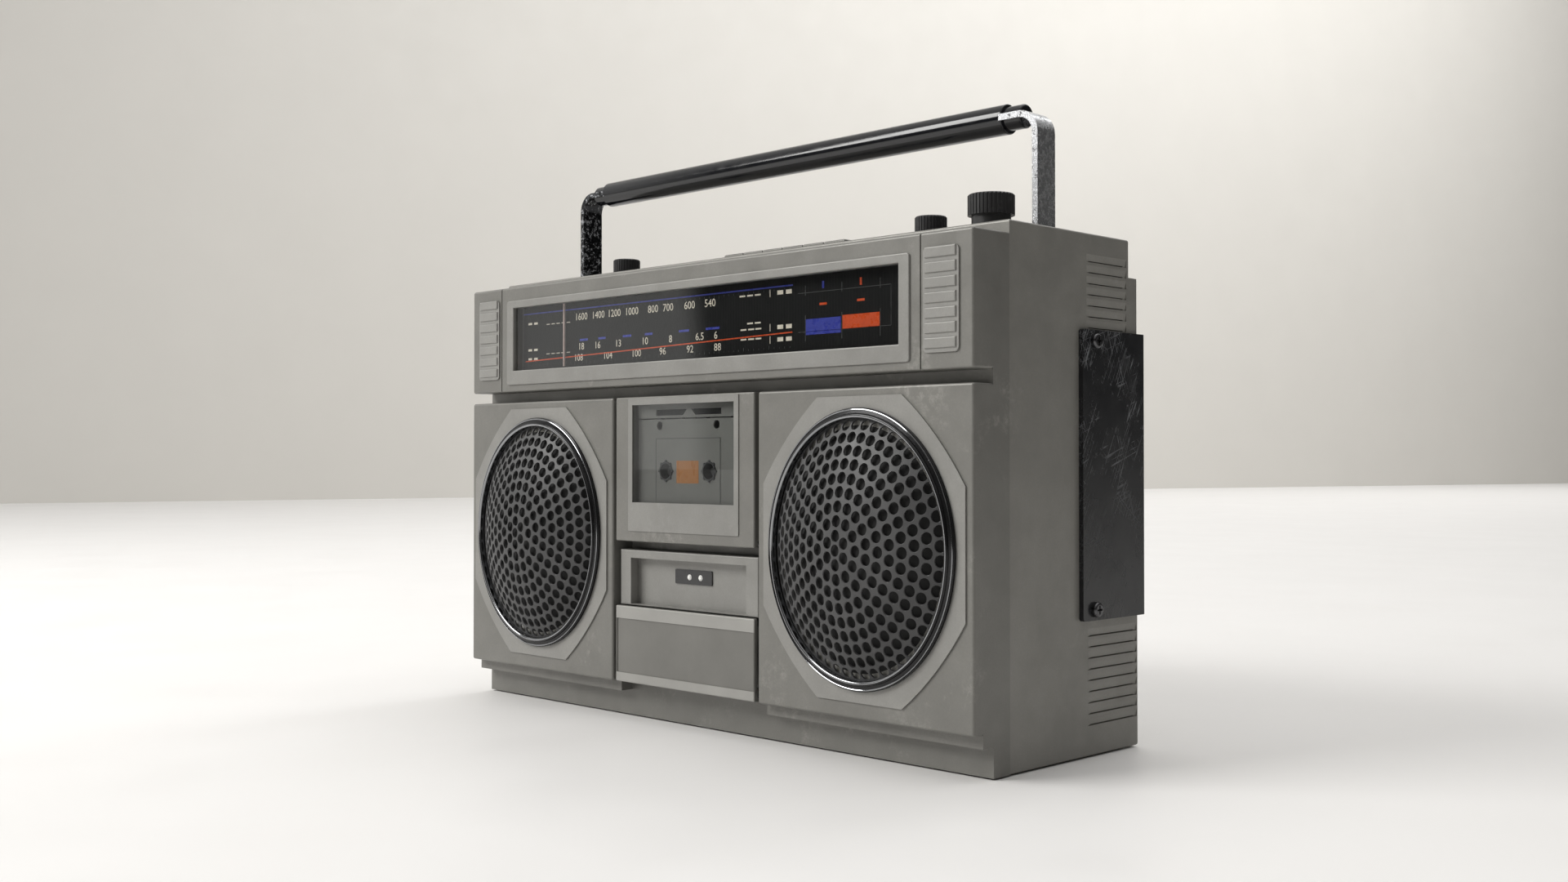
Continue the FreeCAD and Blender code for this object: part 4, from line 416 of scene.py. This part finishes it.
def dome_ball(sizes):
    """Radius of the ball that the dome is cut from."""
    return (sizes.half_width ** 2 + sizes.rise ** 2) / (2 * sizes.rise)


def hole_places(sizes, reach):
    """Distance along the sheet and direction of every hole, by hexagonal rings."""
    step = reach / (sizes.rings + 0.55)
    places = [(0.0, 0.0)]
    for ring in range(1, sizes.rings + 1):
        for index in range(6 * ring):
            places.append((ring * step, math.pi / 2 + index * math.tau / (6 * ring)))
    return places


def front_rim(edge):
    """Whether an edge is a sharp one on the sheet's outer side."""
    faces = edge.link_faces
    return (len(faces) == 2 and abs(faces[0].normal.dot(faces[1].normal)) < 0.6
            and min(face.calc_center_median().y for face in faces) < edge.verts[0].co.y + 1e-5
            and max(face.normal.y for face in faces) < 0.8)


def perforated_dome(side, sizes):
    """Flat sheet with round holes, bent to the dome and given its thickness."""
    ball = dome_ball(sizes)
    reach = ball * math.asin(sizes.half_width / ball)
    sheet = bmesh.new()
    bmesh.ops.create_circle(sheet, segments=168, radius=reach)
    for distance, angle in hole_places(sizes, reach):
        middle = Vector((distance * math.cos(angle), distance * math.sin(angle), 0.0))
        narrow = ball * math.sin(distance / ball) / distance if distance else 1.0
        turn = (Matrix.Translation(middle) @ Matrix.Rotation(angle, 4, "Z")
                @ Matrix.Diagonal((1.0, 1.0 / narrow, 1.0, 1.0)))
        bmesh.ops.create_circle(sheet, segments=sizes.sides, radius=sizes.hole, matrix=turn)
    bmesh.ops.triangle_fill(sheet, use_beauty=True, edges=sheet.edges[:])
    centre = spot(side * SPEAKER_X, -1.0, SPEAKER_Z)
    for point in sheet.verts:
        distance = math.hypot(point.co.x, point.co.y)
        angle = math.atan2(point.co.y, point.co.x)
        across = ball * math.sin(distance / ball)
        back = ball * (1 - math.cos(distance / ball))
        point.co = centre + Vector((across * math.cos(angle), -sizes.rise + back,
                                    sizes.stretch * across * math.sin(angle)))
    bmesh.ops.recalc_face_normals(sheet, faces=sheet.faces)
    if sum(face.normal.y * face.calc_area() for face in sheet.faces) > 0:
        bmesh.ops.reverse_faces(sheet, faces=sheet.faces)
    bmesh.ops.solidify(sheet, geom=sheet.faces[:], thickness=sizes.wall)
    rims = [edge for edge in sheet.edges if front_rim(edge)]
    bmesh.ops.bevel(sheet, geom=rims, offset=0.35 * MM, affect="EDGES", segments=1, profile=0.5,
                    material=-1, offset_type="OFFSET", clamp_overlap=True)
    return sheet


def backing_dome(side, sizes):
    """Black backing just behind the perforated sheet, dark as painted shade in the hollow behind the holes.
    """
    ball = dome_ball(sizes)
    arc = math.asin(sizes.half_width / ball)
    steps = 12
    shade_cloth = bmesh.new()
    line = []
    for step in range(steps + 1):
        angle = arc * step / steps
        back = -sizes.rise + ball * (1 - math.cos(angle))
        line.append(shade_cloth.verts.new((ball * math.sin(angle), back, 0.0)))
    edges = [shade_cloth.edges.new(pair) for pair in zip(line, line[1:])]
    bmesh.ops.spin(shade_cloth, geom=line + edges, cent=(0, 0, 0), axis=(0, 1, 0), angle=math.tau, steps=72,
                   use_merge=True)
    bmesh.ops.remove_doubles(shade_cloth, verts=shade_cloth.verts, dist=1e-6)
    bmesh.ops.recalc_face_normals(shade_cloth, faces=shade_cloth.faces)
    bmesh.ops.solidify(shade_cloth, geom=shade_cloth.faces[:], thickness=0.3 * MM)
    shrink = 0.965
    bmesh.ops.scale(shade_cloth, vec=(shrink, shrink, shrink * sizes.stretch), verts=shade_cloth.verts)
    bmesh.ops.translate(shade_cloth, vec=spot(side * SPEAKER_X, 0.9, SPEAKER_Z), verts=shade_cloth.verts)
    return shade_cloth


# radius and depth of each point round the ring's section, in millimetres
RING_PROFILE = (
    (67.0, -1.0), (67.0, -4.3), (67.25, -5.0), (67.8, -5.45), (68.5, -5.5), (69.1, -5.2), (69.4, -4.7),
    (69.5, -4.1), (69.6, -3.9), (71.1, -3.5), (71.2, -3.75), (71.5, -3.9), (71.85, -3.75), (72.0, -3.4),
    (72.1, -2.9), (72.5, -2.6), (72.5, -1.0),
)
# radii between which the ring is dark (painted reflection) and outside which its foot is dark (painted
# shadow)
PAINTED_REFLECTION_BAND = (68.7, 71.3)
PAINTED_SHADOW_FOOT = 72.0
RING_STRETCH = 82.5 / 72.5


def dark_part(face, side):
    """Whether a face of the ring lies in its painted dark reflection band or its painted shadow at the foot.
    """
    across = face.center.x / MM - side * SPEAKER_X
    upward = ((face.center.z - BASE) / MM - SPEAKER_Z) / RING_STRETCH
    radius = math.hypot(across, upward)
    return PAINTED_REFLECTION_BAND[0] < radius < PAINTED_REFLECTION_BAND[1] or radius > PAINTED_SHADOW_FOOT


def spun_ring(side):
    """The ring's profile, spun round the speaker's axis and made oval."""
    ring = bmesh.new()
    points = [ring.verts.new((radius * MM, depth * MM, 0.0)) for radius, depth in RING_PROFILE]
    edges = [ring.edges.new(pair) for pair in zip(points, points[1:] + points[:1])]
    bmesh.ops.spin(ring, geom=points + edges, cent=(0, 0, 0), axis=(0, 1, 0), angle=math.tau, steps=160,
                   use_merge=True)
    bmesh.ops.scale(ring, vec=(1.0, 1.0, RING_STRETCH), verts=ring.verts)
    bmesh.ops.translate(ring, vec=spot(side * SPEAKER_X, 0.0, SPEAKER_Z), verts=ring.verts)
    return ring


class RECORDER_OT_grilles(bpy.types.Operator):
    """Perforated domes over the speakers, with a black backing behind them as painted shade"""
    bl_idname = "recorder.grilles"
    bl_label = "Speaker grilles"

    def execute(self, context):
        sizes = context.scene.recorder_grille
        colours = context.scene.recorder_colours
        steel = Finish("grille_steel")
        cloud = steel.scale_range(steel.noise(35.0, 5.0), 0.35, 0.65)
        steel.colour(steel.blend(cloud, times(colours.grille, 0.85), times(colours.grille, 1.15)))
        steel.rough(steel.noise(80.0, 6.0), 0.46, 0.6)
        steel.bump(steel.noise(900.0, 2.0), 0.03, 0.3)
        steel.fixed(Metallic=0.15)
        # black backing: painted shade behind the holes
        shade_cloth = moulded("speaker_shade_cloth", (0.011, 0.011, 0.011), (0.8, 0.95), wear=0.0)
        for side, word in ((1, "right"), (-1, "left")):
            dome = make_piece(f"grille_{word}", perforated_dome(side, sizes), "case",
                              steel.material, smooth=32)
            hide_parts("speaker_grilles")
            make_piece(f"speaker_shade_cloth_{word}", backing_dome(side, sizes), "case", shade_cloth, smooth=60)
        return {"FINISHED"}


class RECORDER_OT_rings(bpy.types.Operator):
    """Stepped bright rings round the grilles"""
    bl_idname = "recorder.rings"
    bl_label = "Speaker rings"

    def execute(self, context):
        # plating darkened by half, and dark band and foot: painted dark reflection and painted shadow
        chrome = worn_chrome("ring_chrome", 0.0, 0.5)
        dark = moulded("ring_painted_reflection_and_shadow", (0.02, 0.02, 0.021), (0.12, 0.2), metal=0.6, wear=0.0)
        for side, word in ((1, "right"), (-1, "left")):
            ring = make_piece(f"ring_{word}", spun_ring(side), "case", chrome, smooth=40)
            ring.data.materials.append(dark)
            for face in ring.data.polygons:
                face.material_index = int(dark_part(face, side))
            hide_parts("speaker_rings")
        return {"FINISHED"}


# rows of numbers on the dial: height, size, then each number and its place
NUMBER_ROWS = (
    (277.4, 7.2, (("1600", -117), ("1400", -97.8), ("1200", -80), ("1000", -61), ("800", -38.5),
                  ("700", -23), ("600", -1.5), ("540", 18.5))),
    (256.2, 6.9, (("18", -117), ("16", -98.5), ("13", -75.5), ("10", -47), ("8", -20.5), ("6.5", 8.5),
                  ("6", 24))),
    (248.4, 6.9, (("108", -120), ("104", -87), ("100", -56), ("96", -28.5), ("92", -1), ("88", 25.7))),
)

# bars on the dial by width and height in millimetres, each with its places (x, z)
CREAM_BARS = (
    (5.2, 1.0, ((49.0, 279.6), (56.0, 279.6), (63.0, 279.6), (56.0, 262.0), (63.0, 262.0), (50.0, 258.2),
                (57.0, 258.2), (63.5, 258.2), (50.0, 252.0), (57.0, 252.0), (63.5, 252.0))),
    (0.5, 4.6, tuple((74.0, z) for z in (279.6, 258.2, 250.5))),
    (5.0, 2.6, tuple((x, z) for z in (279.6, 258.2, 250.5) for x in (83.0, 90.5))),
    (4.4, 1.6, tuple((x, z) for x in (-178, -171) for z in (276.0, 256.6, 250.0))),
    (4.0, 0.5, tuple((x, z) for x in range(-156, -126, 6) for z in (274.5, 253.0))),
)
GREY_BARS = (
    (0.4, 6.0, tuple((x, 279.0) for x in (104.7, 135.0, 165.4))),
    (0.4, 16.0, tuple((x, 256.0) for x in (104.7, 135.0, 165.4))),
    (75.4, 0.3, ((136.0, 253.8), (136.0, 277.6))),
    (0.3, 23.8, ((173.7, 265.7),)),
)
BLUE_BARS = (
    (280.0, 0.9, ((-46.0, 283.3),)),
    (9, 1.5, ((-114, 261.0), (-66, 261.0))),
    (8, 1.5, ((-93.5, 261.0), (-43, 261.0))),
    (10, 1.5, ((-7, 261.0),)),
    (13, 1.5, ((21, 261.0),)),
    (29.0, 9.6, ((119.6, 256.6),)),
    (1.6, 4.4, ((119.6, 281.6),)),
)
RED_BARS = (
    (29.4, 8.4, ((150.2, 257.9),)),
    (1.6, 4.4, ((150.2, 281.2),)),
    (6.0, 1.4, ((119.6, 270.0), (150.2, 270.2))),
)
PRINT_DEPTH = SCALE_DEPTH - 0.04
TICKS = 60
TICK_STEP = 4.6
TICK_START = -180
TICK_TOP, TICK_BOTTOM = 281.9, 244.6


class RECORDER_OT_dial(bpy.types.Operator):
    """Printed scale: rows of numbers, lines, dashes and coloured fields"""
    bl_idname = "recorder.dial"
    bl_label = "Dial print"

    def execute(self, context):
        colours = context.scene.recorder_colours
        cream, grey, blue, red = (bmesh.new() for _ in range(4))
        for z, size, numbers in NUMBER_ROWS:
            for text, x in numbers:
                add_number(cream, text, x, z, size, PRINT_DEPTH)
        for shape, bars in ((cream, CREAM_BARS), (grey, GREY_BARS), (blue, BLUE_BARS), (red, RED_BARS)):
            for width, height, places in bars:
                for x, z in places:
                    add_print(shape, x, z, width, height, PRINT_DEPTH)
        for step in range(TICKS):
            x = TICK_START + step * TICK_STEP
            tall = 2.2 if step % 5 == 0 else 1.2
            add_print(grey, x, TICK_TOP - tall / 2, 0.28, tall, PRINT_DEPTH)
            add_print(grey, x, TICK_BOTTOM + tall / 2, 0.28, tall, PRINT_DEPTH)
        # the long red line rises 5.9 mm over 276 mm and lies over the other print
        add_print(red, -45.0, 251.4, 277.0, 0.8, PRINT_DEPTH - 0.05, math.atan2(5.9, 276.0))
        # the print's faint glow is painted light
        for name, shape, colour, painted_glow in (
                ("dial_numbers", cream, (0.80, 0.72, 0.60), 0.3),
                ("dial_ticks", grey, (0.10, 0.10, 0.10), 0.0),
                ("dial_blue", blue, tuple(colours.blue), 0.12),
                ("dial_red", red, tuple(colours.red), 0.18)):
            make_piece(name, shape, "case", glowing(name, colour, painted_glow))
        return {"FINISHED"}


class RECORDER_OT_cassette_print(bpy.types.Operator):
    """Amber window with a faint glow as painted light, fine lines on the cassette, and a dark sheet behind
    its holder's slots as painted shadow
    """
    bl_idname = "recorder.cassette_print"
    bl_label = "Cassette print"

    def execute(self, context):
        colours = context.scene.recorder_colours
        depth = (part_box("cassette_shell")[0].y - FRONT) / MM - 0.05
        reel_low, reel_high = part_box("reel_right")
        hub_z = ((reel_low.z + reel_high.z) / 2 - BASE) / MM
        pane = bmesh.new()
        add_print(pane, 0.0, hub_z - 0.6, 21.8, 14.9, depth)
        rules = bmesh.new()
        for x in (-31.6, 31.6):
            add_print(rules, x, 165.0, 0.35, 50.0, depth)
        add_print(rules, 0.0, 190.0, 63.5, 0.35, depth)
        # dark sheet behind the holder's slots: painted shadow in the well behind them
        slot_shadow_sheet = bmesh.new()
        holder = (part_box("cassette_holder")[0].y - FRONT) / MM
        add_block(slot_shadow_sheet, (-33.5, 33.5), (holder + 1.5, holder + 1.9), (204.4, 210.2))
        for name, shape, material in (
                ("cassette_rules", rules,
                 moulded("cassette_rule", (0.05, 0.05, 0.048), (0.4, 0.5), wear=0.05)),
                ("slot_painted_shadow", slot_shadow_sheet, moulded("slot_painted_shadow", (0.006, 0.006, 0.006), (0.8, 0.95), wear=0.0)),
                # the amber pane's faint glow is painted light
                ("cassette_pane", pane, glowing("cassette_pane", tuple(colours.amber), 0.15))):
            make_piece(name, shape, "door", material)
        return {"FINISHED"}


class RECORDER_OT_finishes(bpy.types.Operator):
    """Procedural finishes on every carried-over part"""
    bl_idname = "recorder.finishes"
    bl_label = "Finishes"

    def execute(self, context):
        done = set()
        for material, nodes in (*self.painted_parts(context), *self.plain_parts()):
            for node in nodes:
                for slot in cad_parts[node].material_slots:
                    slot.material = material
                done.add(node)
        missing = sorted(set(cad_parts) - done)
        if missing:
            raise RuntimeError(f"no finish for {missing}")
        return {"FINISHED"}

    def painted_parts(self, context):
        """Silver-grey finishes, each with its nodes."""
        colours = context.scene.recorder_colours
        front, rear, plate = tuple(colours.front), tuple(colours.rear), tuple(colours.plate)
        flap_low, flap_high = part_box("band_flap")
        flap_edges = (flap_low.z + 6.4 * MM, flap_high.z - 8.6 * MM)
        keys = tuple(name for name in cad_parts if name.startswith("key_"))
        return (
            (painted("front_paint", front, 0.8), ("front_shell", "cassette_door")),
            (painted("trim_paint", times(plate, 1.06), 0.12), ("speaker_trims",)),
            # rear case: a lighter copy of the front paint, as painted light
            (painted("rear_paint", rear, 0.35), ("rear_case", "battery_lid")),
            (striped("flap_paint", times(front, 0.86), times(plate, 1.2), flap_edges), ("band_flap",)),
            (painted("plate_paint", plate, 0.3, 0.3), ("dial_bezel", "door_bezel", "indicator_panel")),
            (painted("ribbed_plate", times(plate, 1.05), 0.1, 0.1, (0.34, 0.42)), ("end_plates",)),
            (painted("tape_grey", times(front, 0.95), 0.1, 0.0, (0.5, 0.65)),
             ("cassette_holder", "cassette_shell")),
            (painted("key_plastic", times(front, 0.95), 0.3), keys),
        )

    def plain_parts(self):
        """Metal, plastic, rubber, clear and lit finishes, each with its nodes."""
        return (
            (pitted_strip("chrome_strip"), ("handle_strip",)),
            (worn_chrome("chrome", 0.1), ("aerial_mast", "aerial_tip", "tape_head", "speaker_rings")),
            (scratched_black("guard_black"), ("side_guards",)),
            (brushed("zinc_steel", (0.30, 0.30, 0.31)),
             ("pivot_pins", "deck_plate", "flywheel", "head_bridge", "deck_motor", "speaker_frames",
              "control_units", "speaker_grilles")),
            (brushed("dark_screws", (0.11, 0.11, 0.115), (0.2, 0.35)), ("case_screws",)),
            (moulded("black_plastic", (0.018, 0.018, 0.019), (0.28, 0.42)),
             ("volume_knob", "tone_knob", "tuning_knob", "band_slider", "rear_sockets", "spindle_left",
              "spindle_right")),
            (moulded("grip", (0.006, 0.0066, 0.0085), (0.08, 0.17), wear=0.04), ("handle_grip",)),
            (moulded("rubber", (0.02, 0.02, 0.02), (0.6, 0.8)),
             ("rubber_feet", "pinch_roller", "drive_belt")),
            (self.dial_plate(), ("dial_scale",)),
            (clear_window("clear", (0.86, 0.87, 0.87)), ("dial_window", "door_window")),
            (moulded("smoke", (0.012, 0.012, 0.013), (0.12, 0.2), wear=0.05), ("indicator_window",)),
            (glowing("lamp", (0.75, 0.75, 0.72), 0.25), ("indicator_lamps",)),
            # the pointer's faint glow is painted light
            (glowing("pointer", (0.55, 0.42, 0.38), 0.12), ("dial_pointer",)),
            (moulded("paper", (0.015, 0.015, 0.015), (0.8, 0.95)),
             ("speaker_cone_right", "speaker_cone_left")),
            (moulded("reel_plastic", (0.018, 0.018, 0.019), (0.4, 0.55), wear=0.05),
             ("reel_left", "reel_right", "tuning_drum")),
            (brushed("brass", (0.55, 0.40, 0.18)), ("motor_pulley", "battery_contacts")),
            (moulded("cell", (0.03, 0.08, 0.16), (0.25, 0.4), 0.3), ("batteries",)),
            (moulded("board", (0.05, 0.12, 0.04), (0.4, 0.6)), ("main_board",)),
            (brushed("core", (0.12, 0.115, 0.11), (0.4, 0.6)), ("transformer",)),
        )

    def dial_plate(self):
        """Black plate with fine upright ribs, their crests a little lighter as painted highlight."""
        done = Finish("dial_plate")
        wave = done.tree.nodes.new("ShaderNodeTexWave")
        wave.bands_direction = "X"
        wave.inputs["Scale"].default_value = 130.0
        wave.inputs["Distortion"].default_value = 0.0
        done.link(done.place, wave.inputs["Vector"])
        ribs = wave.outputs["Fac"]
        # the rib crests are a little lighter: painted highlight
        done.colour(done.blend(ribs, (0.0008, 0.0008, 0.0008), (0.0035, 0.0034, 0.0033)))
        done.rough(done.noise(70.0, 4.0), 0.45, 0.6)
        done.fixed(Specular_IOR_Level=0.15)
        return done.bump(ribs, 0.15, 0.3).material


WINDOW_EDGE = -0.735


def area_light(name, place, aim, size, power, colour=(1.0, 1.0, 1.0)):
    """Soft rectangular light that points at a place."""
    data = bpy.data.lights.new(name, "AREA")
    data.shape = "RECTANGLE"
    data.size, data.size_y = size
    data.energy = power
    data.color = colour
    lamp = bpy.data.objects.new(name, data)
    lamp.location = place
    lamp.rotation_euler = (Vector(aim) - Vector(place)).to_track_quat("-Z", "Y").to_euler()
    bpy.context.scene.collection.objects.link(lamp)
    return lamp


class RECORDER_OT_stage(bpy.types.Operator):
    """Camera, pale floor and wall, and soft studio lights"""
    bl_idname = "recorder.stage"
    bl_label = "Stage"

    def execute(self, context):
        settings = context.scene.recorder_stage
        self.camera(context, settings)
        self.floor_and_wall(context)
        self.surround(context, settings)
        area_light("key_light", (-1.7, -2.6, 2.3), (0.0, 0.0, 0.1), (2.0, 1.6), settings.key,
                   (1.0, 0.99, 0.97))
        area_light("top_light", (0.0, 0.6, 3.2), (0.0, 0.0, 0.0), (3.0, 3.0), settings.top)
        area_light("wall_light", (-0.5, 6.2, 5.0), (-5.0, 6.0, 3.7), (9.0, 4.0), settings.wall)
        context.scene.view_settings.view_transform = "Standard"
        return {"FINISHED"}

    def camera(self, context, settings):
        data = bpy.data.cameras.new("camera")
        data.sensor_width = 36.0
        data.lens = settings.lens
        camera = bpy.data.objects.new("camera", data)
        camera.location = (0.76508, -0.74622, 0.17667)
        camera.rotation_euler = (math.pi / 2 + settings.pitch, 0.0, settings.yaw)
        context.scene.collection.objects.link(camera)
        context.scene.camera = camera

    def floor_and_wall(self, context):
        """A level floor and an upright wall, whose base line shows."""
        for name, half, where, turn, colour in (
                ("floor", 22.0, (0.0, 3.0, 0.0), Matrix.Identity(4), (0.80, 0.79, 0.78)),
                ("wall", 6.0, (-4.575, 7.0, 0.0), Matrix.Rotation(math.radians(76.0), 4, "Z")
                 @ Matrix.Rotation(math.pi / 2, 4, "X"), (0.66, 0.64, 0.60))):
            sheet = bmesh.new()
            bmesh.ops.create_grid(sheet, x_segments=2, y_segments=2, size=half,
                                  matrix=Matrix.Translation(where) @ turn)
            mesh = bpy.data.meshes.new(name)
            sheet.to_mesh(mesh)
            sheet.free()
            plane = bpy.data.objects.new(name, mesh)
            context.scene.collection.objects.link(plane)
            done = Finish(name)
            grain = done.scale_range(done.noise(3.0, 6.0), 0.3, 0.7)
            done.colour(done.blend(grain, times(colour, 0.98), colour))
            done.rough(done.noise(8.0, 3.0), 0.45, 0.6)
            mesh.materials.append(done.material)

    def surround(self, context, settings):
        """Even surrounding light that is brighter on the left, where a window would be."""
        world = context.scene.world or bpy.data.worlds.new("surround")
        context.scene.world = world
        world.use_nodes = True
        nodes, links = world.node_tree.nodes, world.node_tree.links
        place = nodes.new("ShaderNodeTexCoord")
        parts = nodes.new("ShaderNodeSeparateXYZ")
        ramps = []
        for axis, values in (("X", (WINDOW_EDGE, WINDOW_EDGE - 0.015, 0.06, 0.85)),
                             ("Z", (0.25, 0.8, 0.0, 0.62))):
            ramp = nodes.new("ShaderNodeMapRange")
            ramp.interpolation_type = "SMOOTHSTEP"
            for key, value in zip(("From Min", "From Max", "To Min", "To Max"), values):
                ramp.inputs[key].default_value = value
            links.new(parts.outputs[axis], ramp.inputs["Value"])
            ramps.append(ramp)
        both = nodes.new("ShaderNodeMath")
        both.operation = "MAXIMUM"
        scale = nodes.new("ShaderNodeMath")
        scale.operation = "MULTIPLY"
        scale.inputs[1].default_value = settings.world
        links.new(place.outputs["Generated"], parts.inputs[0])
        for ramp, socket in zip(ramps, both.inputs):
            links.new(ramp.outputs["Result"], socket)
        links.new(both.outputs["Value"], scale.inputs[0])
        back = nodes["Background"]
        back.inputs["Color"].default_value = (1.0, 0.985, 0.955, 1.0)
        links.new(scale.outputs["Value"], back.inputs["Strength"])


class RECORDER_PT_panel(bpy.types.Panel):
    """Sizes, colours and steps of the recorder"""
    bl_idname = "RECORDER_PT_panel"
    bl_label = "Recorder"
    bl_space_type = "VIEW_3D"
    bl_region_type = "UI"
    bl_category = "Recorder"

    def draw(self, context):
        for group in (context.scene.recorder_grille, context.scene.recorder_colours,
                      context.scene.recorder_stage):
            for name in group.__annotations__:
                self.layout.prop(group, name)
        for step in STEPS:
            self.layout.operator(step.bl_idname)


STEPS = (RECORDER_OT_stage, RECORDER_OT_finishes, RECORDER_OT_grilles, RECORDER_OT_rings, RECORDER_OT_dial,
         RECORDER_OT_cassette_print)
GROUPS = {"recorder_grille": GrilleSizes, "recorder_colours": FinishColours, "recorder_stage": StageSettings}


def register():
    for item in (*GROUPS.values(), *STEPS, RECORDER_PT_panel):
        bpy.utils.register_class(item)
    for name, group in GROUPS.items():
        setattr(bpy.types.Scene, name, PointerProperty(type=group))


def unregister():
    for name in GROUPS:
        delattr(bpy.types.Scene, name)
    for item in reversed((*GROUPS.values(), *STEPS, RECORDER_PT_panel)):
        bpy.utils.unregister_class(item)


def main():
    register()
    bpy.ops.recorder.stage()
    bpy.ops.recorder.finishes()
    bpy.ops.recorder.grilles()
    bpy.ops.recorder.rings()
    bpy.ops.recorder.dial()
    bpy.ops.recorder.cassette_print()


if __name__ == "__main__":
    main()
